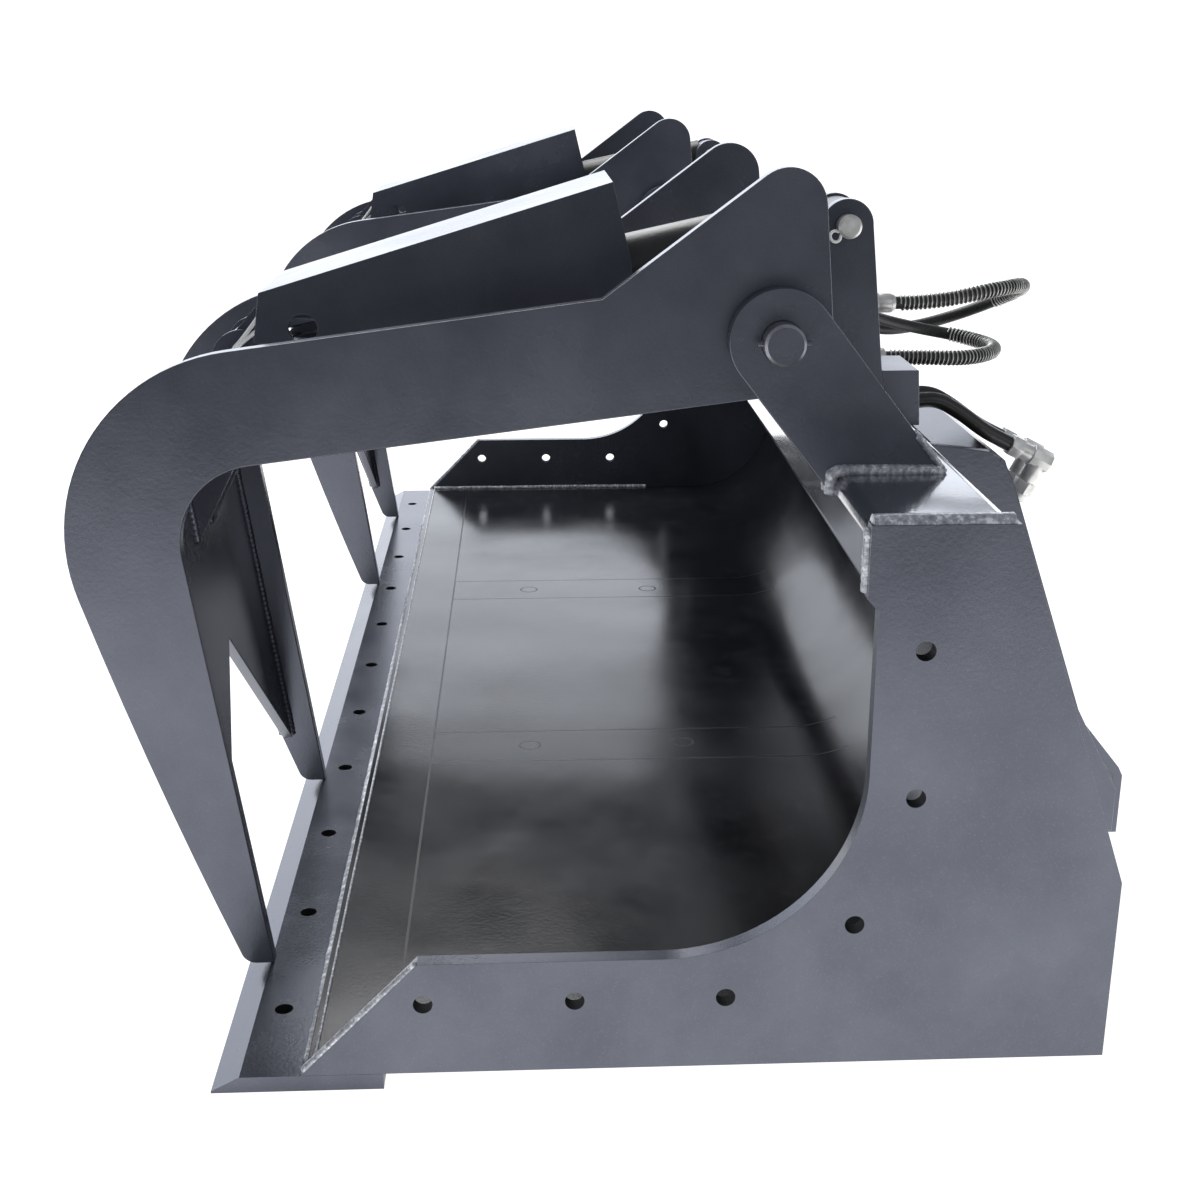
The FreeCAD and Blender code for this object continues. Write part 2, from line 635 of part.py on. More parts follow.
def cylinder_ears(side, middle):
    """Two ears on the top tube that hold the foot of the cylinder."""
    radius = d.ear_radius
    corners = [
        (d.tube_front + d.tube_corner, tube_top),
        (tube_rear - d.ear_foot, tube_top),
        (d.base_pin_y + d.ear_shoulder, tube_top + d.box_height),
        (d.base_pin_y + radius, d.base_pin_z, radius, 1),
        (d.base_pin_y, d.base_pin_z + radius, radius, 1),
        (d.base_pin_y - radius, d.base_pin_z),
    ]
    hole = [(d.base_pin_y, d.base_pin_z, d.cylinder_pin / 2 + d.running_fit)]
    ears = [plate(f"ear_{side}_{name}", d.clevis_plate, corners, hole, middle + clevis_middle * sign)
            for name, sign in (("outer", 1), ("inner", -1))]
    group(f"cylinder_ears_{side}", ears)


def tine(label, x):
    front_normal = (cosine(d.tine_front_lean), sine(d.tine_front_lean))
    slope_sin, slope_cos = sine(d.beam_slope), cosine(d.beam_slope)
    tip_base = d.edge_thickness + d.tip_gap
    front = (d.knuckle_y - d.knuckle_outer * front_normal[0], d.knuckle_z - d.knuckle_outer * front_normal[1])
    top = (d.knuckle_y - d.knuckle_outer * slope_sin, d.knuckle_z + d.knuckle_outer * slope_cos)
    shoulder_z = top[1] + (d.shoulder_y - top[0]) * tangent(d.beam_slope)
    rise = d.shoulder_slope
    # The lobe's centre lies one radius inside the rising edge.
    lobe_z = shoulder_z + (d.lobe_y - d.shoulder_y) * tangent(rise) - d.lobe_radius / cosine(rise)
    lobe_front = (d.lobe_y - d.lobe_radius * sine(rise), lobe_z + d.lobe_radius * cosine(rise))
    # The rear edge leaves the lobe at the slope of the line from its right side to the corner.
    lobe_rear = (d.lobe_y + d.lobe_radius * cosine(d.tine_rear_lean),
                 lobe_z + d.lobe_radius * sine(d.tine_rear_lean))
    inner_top = (d.knuckle_y - d.knuckle_inner * slope_sin, d.knuckle_z + d.knuckle_inner * slope_cos)
    inner_low = (d.knuckle_y - d.knuckle_inner * slope_cos, d.knuckle_z - d.knuckle_inner * slope_sin)
    corners = [
        (d.tip_front, tip_base),
        (d.tip_rear, tip_base),
        (inner_low[0], inner_low[1], d.knuckle_inner, -1),
        inner_top,
        (d.heel_y, d.heel_z),
        (lobe_rear[0], lobe_rear[1], d.lobe_radius, 1),
        lobe_front,
        (d.shoulder_y, shoulder_z),
        (top[0], top[1], d.knuckle_outer, 1),
        (front[0], front[1], d.tine_front_radius, 1),
    ]
    hole = [(d.hinge_y, d.hinge_z, d.hinge_pin / 2 + d.bush_wall)]
    body = new_body(label)
    pad(body, draw(body, "YZ_Plane", corners, hole), d.tine_thickness)
    fillet(body, d.tine_corner, [(d.heel_y, d.heel_z)])
    fillet(body, d.tine_corner / 2, [(d.tip_front, tip_base)])
    return keep(place(body, x))


def hinge_bushes(side, middle):
    width = d.tine_thickness + d.bush_proud * 2
    bushes = []
    for name, sign in (("outer", 1), ("inner", -1)):
        item = ring(f"bush_{side}_{name}", d.hinge_pin / 2 + d.bush_wall,
                    d.hinge_pin / 2 + d.running_fit, width)
        bushes.append(place(item, middle + d.tine_spacing / 2 * sign, d.hinge_y, d.hinge_z))
    group(f"hinge_bushes_{side}", bushes)


def front_web(side, middle):
    """The plate between the tines, with its notch like an upturned V."""
    body = new_body(f"front_web_{side}")
    half = tine_inner_face
    corners = [
        (-half, d.notch_foot),
        (as_size(0), d.notch_top),
        (half, d.notch_foot),
        (half, d.web_top),
        (-half, d.web_top),
    ]
    pad(body, draw(body, "XZ_Plane", corners), d.web_thickness)
    turn = Rotation(Vector(1, 0, 0), d.web_lean.number)
    offset = d.web_thickness / 2
    keep(place(body, middle, d.web_foot - offset * cosine(d.web_lean), -offset * sine(d.web_lean), turn))


def web_face(height):
    """Rear face of the front web at a height."""
    return d.web_foot - height * tangent(d.web_lean)


# The guard clears the cylinder by the same heights wherever the pins are.
guard_front_z = d.rod_pin_z + d.guard_over_rod_pin
guard_rear_z = d.base_pin_z + d.guard_over_base_pin
guard_slope = (guard_rear_z - guard_front_z) / (d.guard_rear_y - d.guard_front_y)
guard_length = root((guard_rear_z - guard_front_z) * (guard_rear_z - guard_front_z)
                    + (d.guard_rear_y - d.guard_front_y) * (d.guard_rear_y - d.guard_front_y))
guard_drop = d.guard_plate * guard_length / (d.guard_rear_y - d.guard_front_y)


def guard_underside(y):
    """Underside of the guard's top plate at a place along it."""
    return guard_front_z + (y - d.guard_front_y) * guard_slope - guard_drop


def guard(side, middle):
    """Folded cover over the cylinder: a top plate and two sides that sit on the tie tube."""
    seat = d.tie_diameter / 2 + d.seat_gap
    saddle_edge = seat + d.guard_plate
    outline = [
        (d.guard_front_y - d.guard_nose, guard_front_z - d.guard_front_depth),
        (d.tie_y - saddle_edge - d.guard_plate, d.tie_z + d.guard_plate * 2),
        (d.tie_y - saddle_edge, d.tie_z),
        (d.tie_y - seat, d.tie_z, seat, -1),
        (d.tie_y, d.tie_z + seat, seat, -1),
        (d.tie_y + seat, d.tie_z),
        (d.tie_y + saddle_edge, d.tie_z),
        (d.guard_rear_y + d.guard_tail, guard_rear_z - d.guard_rear_depth),
        (d.guard_rear_y + d.guard_tail, guard_rear_z - d.guard_rear_depth + d.guard_tail),
        (d.guard_rear_y, guard_rear_z),
        (d.guard_front_y, guard_front_z),
    ]
    hole = [(d.guard_front_y + d.guard_hole_back, guard_front_z - d.guard_hole_down, d.guard_hole / 2)]
    top_plate = [
        (d.guard_front_y, guard_underside(d.guard_front_y)),
        (d.guard_rear_y, guard_underside(d.guard_rear_y)),
        (d.guard_rear_y, guard_rear_z),
        (d.guard_front_y, guard_front_z),
    ]
    body = new_body(f"guard_{side}")
    pad(body, draw(body, "YZ_Plane", top_plate), d.guard_width)
    for sign in (1, -1):
        flange = draw(body, "YZ_Plane", outline, hole)
        offset = (d.guard_width / 2 - d.guard_plate / 2) * sign
        flange.AttachmentOffset = Placement(Vector(0, 0, offset.number), Rotation())
        flange.setExpression(".AttachmentOffset.Base.z", offset.formula)
        pad(body, flange, d.guard_plate)
    keep(place(body, middle))


def tie_tube(side, middle):
    tube = ring(f"tie_tube_{side}", d.tie_diameter / 2, d.tie_diameter / 2 - d.tie_wall, tine_inner_face * 2)
    keep(place(tube, middle, d.tie_y, d.tie_z))


def rod_lugs(side, middle):
    """Two lugs from the front web up to the rod pin and on to the underside of the guard."""
    radius = d.lug_radius
    low, high = d.knuckle_z - d.lug_foot_below, d.knuckle_z + d.lug_foot_above
    lap = d.guard_front_y + d.lug_lap
    corners = [
        (web_face(low), low),
        (d.rod_pin_y + radius * cosine(d.lug_turn), d.rod_pin_z - radius * sine(d.lug_turn), radius, 1),
        (d.rod_pin_y + radius, d.rod_pin_z),
        (lap, guard_underside(lap)),
        (d.guard_front_y, guard_underside(d.guard_front_y)),
        (d.rod_pin_y - radius, d.rod_pin_z),
        (web_face(high), high),
    ]
    hole = [(d.rod_pin_y, d.rod_pin_z, d.cylinder_pin / 2 + d.lug_play)]
    lugs = [plate(f"lug_{side}_{name}", d.clevis_plate, corners, hole, middle + clevis_middle * sign)
            for name, sign in (("outer", 1), ("inner", -1))]
    group(f"rod_lugs_{side}", lugs)


# The cylinder lies along a line from its base pin to its rod pin.
reach_y = d.rod_pin_y - d.base_pin_y
reach_z = d.rod_pin_z - d.base_pin_z
pin_to_pin = root(reach_y * reach_y + reach_z * reach_z)
cylinder_angle = math.degrees(math.atan2(reach_z.number, reach_y.number))
along_cylinder = Rotation(Vector(1, 0, 0), cylinder_angle) * Rotation(Vector(0, 0, 1), 90)
eye_width = d.clevis_gap - d.eye_side_gap * 2
eye_seat = d.eye_outside / 2 + d.running_fit
rod_seat = d.rod_eye_outside / 2 + d.running_fit


def along(item, middle):
    return place(item, middle, d.base_pin_y, d.base_pin_z, along_cylinder)


def saddle(body, centre, radius):
    """Cut a round seat across a piece of the cylinder, for the eye that is welded to it."""
    sketch = body.newObject("Sketcher::SketchObject", body.Label + "_seat")
    sketch.AttachmentSupport = plane_of(body, "XZ_Plane")
    sketch.MapMode = "FlatFace"
    index = sketch.addGeometry(Part.Circle(Vector(centre.number, 0, 0), Vector(0, 0, 1), radius.number), False)
    bind(sketch, "DistanceX", (-1, 1, index, 3), centre)
    bind(sketch, "DistanceY", (-1, 1, index, 3), as_size(0))
    bind(sketch, "Radius", (index,), radius)
    cut_through(body, sketch)


def barrel(side, middle):
    outer, bore = d.barrel_diameter / 2, d.cylinder_bore / 2
    neck_start = d.eye_outside / 2 - d.saddle_depth
    neck = eye_width / 2
    cap_end = d.neck_length + d.cap_thickness
    body = turned(f"barrel_{side}", [
        (neck_start, 0), (cap_end, 0), (cap_end, bore), (d.barrel_length, bore),
        (d.barrel_length, outer), (d.neck_length, outer), (d.neck_length, neck), (neck_start, neck)])
    saddle(body, as_size(0), eye_seat)
    keep(along(body, middle))
    eye = ring(f"base_eye_{side}", d.eye_outside / 2, d.cylinder_pin / 2 + d.running_fit, eye_width)
    keep(place(eye, middle, d.base_pin_y, d.base_pin_z))


def gland(side, middle):
    outer, bore = d.barrel_diameter / 2, d.cylinder_bore / 2
    inner = d.rod_diameter / 2 + d.running_fit
    front = d.barrel_length + d.gland_flange
    back = d.barrel_length - d.gland_spigot
    body = turned(f"gland_{side}", [
        (back, inner), (front, inner), (front, outer - d.gland_chamfer),
        (front - d.gland_chamfer, outer), (d.barrel_length, outer),
        (d.barrel_length, bore - d.running_fit), (back, bore - d.running_fit)])
    keep(along(body, middle))


def rod(side, middle):
    radius, stub = d.rod_diameter / 2, d.stub_diameter / 2
    shoulder = d.piston_place + d.piston_width
    start = d.piston_place - d.nut_width - d.pin_chamfer
    end = pin_to_pin - rod_seat + d.saddle_depth
    body = turned(f"rod_{side}", [
        (start, 0), (end, 0), (end, radius), (shoulder, radius), (shoulder, stub), (start, stub)])
    saddle(body, pin_to_pin, rod_seat)
    keep(along(body, middle))
    piston = turned(f"piston_{side}", [
        (d.piston_place, stub), (shoulder, stub), (shoulder, d.cylinder_bore / 2 - d.running_fit),
        (d.piston_place, d.cylinder_bore / 2 - d.running_fit)])
    keep(along(piston, middle))
    nut = new_body(f"piston_nut_{side}")
    corner = d.stub_diameter * d.nut_share
    corners = [(corner * math.cos(math.radians(step)), corner * math.sin(math.radians(step)))
               for step in range(0, 360, 60)]
    pad(nut, draw(nut, "YZ_Plane", corners, [(0, 0, stub)]), d.nut_width)
    middle_of_nut = d.piston_place - d.nut_width / 2
    share = middle_of_nut / pin_to_pin
    keep(place(nut, middle, d.base_pin_y + reach_y * share, d.base_pin_z + reach_z * share, along_cylinder))
    eye = ring(f"rod_eye_{side}", d.rod_eye_outside / 2, d.cylinder_pin / 2, eye_width)
    keep(place(eye, middle, d.rod_pin_y, d.rod_pin_z))


def rod_pin(side, middle):
    """Pin of the rod eye, with the two washers that cover the lugs' holes."""
    washer_place = clevis_face + d.washer_gap + d.washer_width / 2
    half = clevis_face + d.pin_proud
    shaft = pin(f"rod_pin_{side}", d.cylinder_pin / 2, half, d.pin_chamfer)
    keep(place(shaft, middle, d.rod_pin_y, d.rod_pin_z))
    washers = []
    for name, sign in (("outer", 1), ("inner", -1)):
        item = ring(f"rod_washer_{side}_{name}", d.washer_outside / 2, d.cylinder_pin / 2, d.washer_width)
        washers.append(place(item, middle + washer_place * sign, d.rod_pin_y, d.rod_pin_z))
    group(f"rod_washers_{side}", washers)


def base_pin(side, middle):
    shaft = pin(f"base_pin_{side}", d.cylinder_pin / 2, clevis_face + d.pin_proud, d.pin_chamfer)
    base_pins.append(place(shaft, middle, d.base_pin_y, d.base_pin_z))


# Hydraulic lines. A route's points are (towards the bucket's middle from the arm's middle, y, z).
ARC_SHARE = 0.45
SWEEP_ERROR = 0.01
ALONG_Y = Rotation(Vector(0, 0, 1), 90)
UPPER_HOSE = [(57, 187, 520), (95, 229, 520), (150, 233, 504), (192, 202, 481), (200, 160, 467),
              (190, 122, 464), (172, 90, 475), (147, 66, 489), (121, 52, 504), (95, 37, 519), (69, 19, 536),
              (52, 4, 548)]
LOWER_HOSE = [(58, 168, 460), (88, 202, 460), (132, 212, 459), (168, 190, 462), (178, 152, 468),
              (162, 116, 478), (140, 90, 489), (116, 70, 501), (93, 58, 514), (72, 48, 529), (53, 38, 547)]
SUPPLY_PIPE = [(148, 426), (171, 409), (193, 398)]


def tube_along(label, route, diameter):
    """A round tube or hose along straight runs that are joined by tangent arcs."""
    spots = [Vector(*[as_size(size).number for size in spot]) for spot in route]
    ways = [Vector(after - before).normalize() for before, after in zip(spots, spots[1:])]
    runs = [before.distanceToPoint(after) for before, after in zip(spots, spots[1:])]
    edges, radii = [], []
    start = spots[0]
    for index, corner in enumerate(spots[1:-1]):
        way_in, way_out = ways[index], ways[index + 1]
        half_turn = way_in.getAngle(way_out) / 2
        reach = ARC_SHARE * min(runs[index], runs[index + 1])
        radius = reach / math.tan(half_turn)
        inward = Vector(way_out - way_in).normalize()
        first, last = corner - way_in * reach, corner + way_out * reach
        arc_middle = corner + inward * (radius / math.cos(half_turn) - radius)
        edges += [Part.LineSegment(start, first).toShape(), Part.Arc(first, arc_middle, last).toShape()]
        radii.append(round(radius))
        start = last
    edges.append(Part.LineSegment(start, spots[-1]).toShape())
    path = doc.addObject("Part::Feature", label + "_route")
    path.Shape = Part.Wire(edges)
    section = doc.addObject("Part::Circle", label + "_section")
    section.setExpression("Radius", (as_size(diameter) / 2).formula)
    section.Placement = Placement(spots[0], Rotation(Vector(0, 0, 1), ways[0]))
    tube = doc.addObject("Part::Sweep", label)
    tube.Sections = [section]
    tube.Spine = (path, [f"Edge{index}" for index in range(1, len(edges) + 1)])
    tube.Solid = True
    doc.recompute()
    expected = math.pi * (as_size(diameter).number / 2) ** 2 * path.Shape.Length
    if abs(tube.Shape.Volume / expected - 1) > SWEEP_ERROR:
        raise ValueError(f"{label}: volume {tube.Shape.Volume}, section times length {expected}")
    print(label, "radii", radii, "length", round(path.Shape.Length))
    return tube


def on_cylinder(reach, below):
    """A point (y, z) from its distance along the cylinder and below its axis."""
    way_y, way_z = reach_y / pin_to_pin, reach_z / pin_to_pin
    return (d.base_pin_y + way_y * reach - way_z * below, d.base_pin_z + way_z * reach + way_y * below)


def inwards(route, sign):
    """Turn a route towards the middle of the bucket for the left or the right arm."""
    return [(as_size(across) * -sign, y, z) for across, y, z in route]


def disc(centre, radius):
    """A full circle as corners for draw(), centred on its plane's first axis."""
    centre = as_size(centre)
    return [(centre - radius, 0, radius, 1), (centre, -radius, radius, 1),
            (centre + radius, 0, radius, 1), (centre, radius, radius, 1)]


def slug(label, diameter, length):
    """A plain round piece along its own X axis, from its origin."""
    return turned(label, [(0, 0), (length, 0), (length, diameter / 2), (0, diameter / 2)])


def port_boss(label, sign, reach):
    """A boss welded on the barrel's side, with its foot shaped to the barrel."""
    body = new_body(label)
    length = d.port_face - d.port_foot
    sketch = draw(body, "XZ_Plane", disc(reach, d.port_outside / 2))
    middle = (d.port_foot + length / 2) * -sign
    sketch.AttachmentOffset = Placement(Vector(0, 0, middle.number), Rotation())
    sketch.setExpression(".AttachmentOffset.Base.z", middle.formula)
    pad(body, sketch, length)
    cut_through(body, draw(body, "YZ_Plane", disc(0, d.barrel_diameter / 2 + d.running_fit)))
    return body


elbow_y, elbow_z = on_cylinder(d.base_port, as_size(0))


def elbow_point(reach):
    """A point (y, z) out of the rear elbow."""
    return (elbow_y + reach * cosine(d.elbow_slope), elbow_z - reach * sine(d.elbow_slope))


def cylinder_line(side, middle, sign):
    """Ports, elbows and the pipe that brings the front port back to the rear of the cylinder."""
    group(f"barrel_ports_{side}", [along(port_boss(f"port_{side}_{name}", sign, reach), middle)
                                   for name, reach in (("rear", d.base_port), ("front", d.gland_port))])
    line = middle - d.line_inboard * sign
    facing = Rotation(Vector(0, 0, 1), 90 + 90 * sign)
    pieces = []
    for name, reach in (("rear", d.base_port), ("front", d.gland_port)):
        item = slug(f"elbow_{side}_{name}", d.elbow_outside, (d.line_inboard - d.port_face) * 2)
        pieces.append(place(item, middle - d.port_face * sign, *on_cylinder(reach, as_size(0)), facing))
    outlet = slug(f"elbow_outlet_{side}", d.outlet_outside, d.elbow_reach)
    cut_through(outlet, draw(outlet, "XZ_Plane", disc(0, d.elbow_outside / 2 + d.running_fit)))
    pieces.append(place(outlet, line, elbow_y, elbow_z,
                        Rotation(Vector(1, 0, 0), -d.elbow_slope.number) * ALONG_Y))
    start = d.gland_port - d.elbow_outside / 2
    bends = [(start, as_size(0)), (start - d.line_bend, as_size(0)),
             (start - d.line_bend * 2, d.line_drop), (d.line_end, d.line_drop)]
    route = [(d.line_inboard, *on_cylinder(*bend)) for bend in bends]
    pieces.append(place(tube_along(f"pipe_{side}", inwards(route, sign), d.pipe_diameter), middle))
    pieces.append(place(slug(f"pipe_end_{side}", d.ferrule_outside, d.ferrule_length), line,
                        *on_cylinder(d.line_end, d.line_drop),
                        along_cylinder * Rotation(Vector(0, 0, 1), 180)))
    group(f"barrel_pipe_{side}", pieces)


def hydraulic_hoses(side, middle, sign):
    """The two hoses from the port block round to the ports on the cylinder. Both ends lead straight out
    of their fittings."""
    line_foot = d.line_end - d.ferrule_length
    past_outlet = d.elbow_reach + d.hose_straight
    ends = {
        "upper": (d.upper_outlet_end, d.upper_outlet_z, UPPER_HOSE,
                  on_cylinder(line_foot - d.hose_straight, d.line_drop), on_cylinder(line_foot, d.line_drop)),
        "lower": (d.lower_outlet_end, d.lower_outlet_z, LOWER_HOSE, elbow_point(past_outlet),
                  elbow_point(d.elbow_reach)),
    }
    hoses = []
    for name, (y, z, spots, before_port, port) in ends.items():
        route = [(d.outlet_inboard, y, z), (d.outlet_inboard, y + d.outlet_straight, z), *spots,
                 (d.line_inboard, *before_port), (d.line_inboard, *port)]
        hoses.append(place(tube_along(f"hose_{side}_{name}", inwards(route, sign), d.hose_diameter), middle))
    group(f"hydraulic_hoses_{side}", hoses)


def manifold(side, middle, sign):
    """Block beside the inner ear that carries the two hose outlets, and the box behind the ears."""
    foot = [
        (d.block_front, tube_top),
        (d.block_foot, tube_top),
        (d.block_foot, d.lower_line_z + d.pipe_diameter),
        (d.lower_outlet_face, d.lower_outlet_z - d.outlet_nut / 2 - d.seat_gap),
        (d.lower_outlet_face, d.lower_outlet_z + d.elbow_outside),
        (d.block_rear, d.lower_outlet_z + d.port_outside),
        (d.block_rear, d.block_top),
        (d.block_front, d.block_top),
    ]
    box = [
        (tube_rear - d.ear_foot, tube_top),
        (tube_rear, tube_top),
        (d.box_rear, tube_top + d.box_height),
        (d.base_pin_y + d.ear_shoulder, tube_top + d.box_height),
    ]
    block_place = middle - (clevis_face + d.block_width / 2) * sign
    manifolds.append(plate(f"port_block_{side}", d.block_width, foot, (), block_place))
    manifolds.append(plate(f"manifold_box_{side}", clevis_face * 2, box, (), middle))


def hose_outlets(side, middle, sign):
    """The two fittings on the rear of the port block."""
    for name, face, end, z in (
            ("upper", d.block_rear, d.upper_outlet_end, d.upper_outlet_z),
            ("lower", d.lower_outlet_face, d.lower_outlet_end, d.lower_outlet_z)):
        nut = (end - face) / 2
        body = turned(f"outlet_{side}_{name}", [
            (0, 0), (end - face, 0), (end - face, d.ferrule_outside / 2), (nut, d.ferrule_outside / 2),
            (nut, d.outlet_nut / 2), (0, d.outlet_nut / 2)])
        fittings.append(place(body, middle - d.outlet_inboard * sign, face, z, ALONG_Y))


def crossover_pipes():
    """Two straight pipes that join the port blocks of both arms."""
    half = d.arm_offset - clevis_face - d.block_width
    pipes = []
    for name, y, z in (("upper", d.upper_line_y, d.upper_line_z), ("lower", d.lower_line_y, d.lower_line_z)):
        pipes.append(place(slug(f"crossover_{name}", d.pipe_diameter, half * 2), -half, y, z))
    group("crossover_pipes", pipes)


def supply_lines():
    """Two pipes from the left manifold box, each with an elbow for the loader's hose."""
    pipes = []
    # The pipes leave the box square to its rear face.
    lean = (tube_rear - d.box_rear) / d.box_height
    start = (tube_rear - (d.supply_z - tube_top) * lean, d.supply_z)
    square = (start[0] + d.supply_straight, start[1] + d.supply_straight * lean)
    before, last = SUPPLY_PIPE[-2:]
    fall = math.degrees(math.atan2(last[1] - before[1], last[0] - before[0]))
    for name, sign in (("left", 1), ("right", -1)):
        x = d.arm_offset + d.supply_spacing / 2 * sign - d.supply_shift
        route = [(0, *start), (0, *square), *[(0, *spot) for spot in SUPPLY_PIPE]]
        pipes.append(place(tube_along(f"supply_pipe_{name}", route, d.supply_diameter), x))
        half, long, down = d.supply_elbow / 2, d.supply_elbow * 2, d.supply_elbow_drop
        elbow = new_body(f"supply_elbow_{name}")
        corners = [(0, -half), (long - d.supply_elbow, -half), (long - d.supply_elbow, -down), (long, -down),
                   (long, half), (0, half)]
        pad(elbow, draw(elbow, "XZ_Plane", corners), d.supply_elbow)
        turn = Rotation(Vector(1, 0, 0), fall) * ALONG_Y
        fittings.append(place(elbow, x, last[0], last[1], turn))
    group("supply_pipes", pipes)


# Quick-attach frame: places are measured down its sloping face and out of it.
face_sin, face_cos = sine(d.attach_lean), cosine(d.attach_lean)


def on_face(down, out):
    """A point (y, z) from its distance down the quick-attach face and out of it."""
    return (d.attach_y + face_sin * down + face_cos * out, d.attach_z - face_cos * down + face_sin * out)


def wall_outside(z):
    """Outside face of the back wall at a height."""
    return (wall_reach + d.sheet_thickness - as_size(z) * wall_sin) / wall_cos


plate_front = -d.attach_recess - d.attach_plate_thickness


def attach_plate():
    top, foot = -d.plate_above, d.plate_below
    corners = [on_face(top, plate_front), on_face(foot, plate_front),
               on_face(foot, -d.attach_recess), on_face(top, -d.attach_recess)]
    keep(plate("attach_plate", d.attach_width - d.gusset_thickness * 2, corners))


def attach_top_hook():
    """Bent strip over the top of the plate, whose lip comes down flush with the gussets."""
    top = -d.plate_above
    thickness = d.attach_plate_thickness
    corners = [
        on_face(top, plate_front),
        on_face(top, -d.hook_lip),
        on_face(top + d.hook_depth, -d.hook_lip),
        on_face(top + d.hook_depth, as_size(0)),
        on_face(top - d.hook_bend, as_size(0)),
        on_face(top - thickness, d.hook_bend - d.hook_lip),
        on_face(top - thickness, plate_front),
    ]
    keep(plate("attach_top_hook", d.attach_width - d.gusset_thickness * 2, corners))


def attach_bottom_flange():
    """Sheet that slopes out from the foot of the plate and folds down, with two wedge slots."""
    thick = d.flange_thickness
    start = on_face(d.plate_below, -d.attach_recess)
    upper_y = d.flange_rear - thick / 2
    run = upper_y - start[0]
    bend_z = start[1] - run * tangent(d.flange_slope)
    under = thick / cosine(d.flange_slope)
    corners = [
        start,
        (start[0] - thick * sine(d.flange_slope), start[1] - thick * cosine(d.flange_slope)),
        (d.flange_rear - thick, bend_z - under + thick * tangent(d.flange_slope) / 2),
        (d.flange_rear - thick, d.flange_foot),
        (d.flange_rear, d.flange_foot),
        (d.flange_rear, bend_z - thick),
        (upper_y, bend_z),
    ]
    body = new_body("attach_bottom_flange")
    pad(body, draw(body, "YZ_Plane", corners), d.attach_width - d.gusset_thickness * 2)
    for sign in (1, -1):
        middle = d.slot_spacing / 2 * sign
        long, high = d.slot_length / 2, d.slot_height / 2
        level = d.flange_foot + d.slot_above_foot
        corners = [(middle - long + high, level - high), (middle + long - high, level - high, high, 1),
                   (middle + long, level, high, 1), (middle + long - high, level + high),
                   (middle - long + high, level + high, high, 1), (middle - long, level, high, 1)]
        cut_through(body, draw(body, "XZ_Plane", corners))
    keep(place(body))


def attach_gussets():
    """Side gussets and inner ribs between the back wall and the quick-attach face."""
    low, toe = d.gusset_foot, d.flange_rear - d.flange_thickness
    upper = d.side_rear_knee + d.gusset_toe
    outline = [
        (tube_rear, tube_top - d.attach_plate_thickness),
        (tube_rear, wall_top + d.sheet_thickness / wall_sin),
        (wall_outside(upper), upper),
        (wall_outside(upper) + d.gusset_inset, upper - d.gusset_inset * 2),
        (toe - d.gusset_toe, low),
        (toe, low),
        (toe, low + d.gusset_toe),
        on_face(d.gusset_below, as_size(0)),
        on_face(-d.gusset_brow, as_size(0)),
        on_face(-d.plate_above, -d.hook_bend),
        on_face(-d.gusset_top, -d.attach_plate_thickness - d.hook_bend * 2),
    ]
    gussets = [plate(f"gusset_{name}", d.gusset_thickness, outline, (),
                     (d.attach_width / 2 - d.gusset_thickness / 2) * sign)
               for name, sign in (("left", 1), ("right", -1))]
    rib_top = on_face(-d.rib_top, plate_front)
    rib_foot = on_face(d.rib_foot, plate_front)
    rib = [(wall_outside(rib_top[1]), rib_top[1]), (wall_outside(rib_foot[1]), rib_foot[1]), rib_foot, rib_top]
    ribs = [plate(f"rib_{step + 2}", d.gusset_thickness, rib, (), d.attach_width / 4 * step)
            for step in (-1, 0, 1)]
    group("attach_gussets", gussets + ribs)


cross_pins = []
base_pins = []
manifolds = []
fittings = []
bucket_shell()
side_plate("left", 1)
side_plate("right", -1)
cutting_edge()
wear_bars()
top_tube()
attach_plate()
attach_top_hook()
attach_bottom_flange()
attach_gussets()
for side, sign in (("left", 1), ("right", -1)):
    middle = d.arm_offset * sign
    hinge_straps(side, middle)
    hinge_pin(side, middle)
    cylinder_ears(side, middle)
    tine(f"outer_tine_{side}", middle + d.tine_spacing / 2 * sign)
    tine(f"inner_tine_{side}", middle - d.tine_spacing / 2 * sign)
    hinge_bushes(side, middle)
    front_web(side, middle)
    guard(side, middle)
    tie_tube(side, middle)
    rod_lugs(side, middle)
    barrel(side, middle)
    gland(side, middle)
    rod(side, middle)
    rod_pin(side, middle)
    base_pin(side, middle)
    cylinder_line(side, middle, sign)
    manifold(side, middle, sign)
    hose_outlets(side, middle, sign)
    hydraulic_hoses(side, middle, sign)
crossover_pipes()
supply_lines()
group("hinge_cross_pins", cross_pins)
group("base_pins", base_pins)
group("manifolds", manifolds)
group("hose_fittings", fittings)

doc.recompute()
for item in doc.Objects:
    if "Invalid" in item.State or "Error" in item.State:
        raise ValueError(f"{item.Label}: {item.State}")
for part in parts:
    if part.Shape.isNull() or not part.Shape.isValid():
        raise ValueError(f"{part.Label}: no valid shape")

os.makedirs("parts", exist_ok=True)
for part in parts:
    part.Shape.exportStep(f"parts/{part.Label}.step")
    print(part.Label, len(part.Shape.Solids), round(part.Shape.Volume), "mm3")
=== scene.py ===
import json
import math

import bmesh
import bpy
from bpy.props import FloatProperty, FloatVectorProperty, PointerProperty
from mathutils import Euler, Matrix, Vector, noise


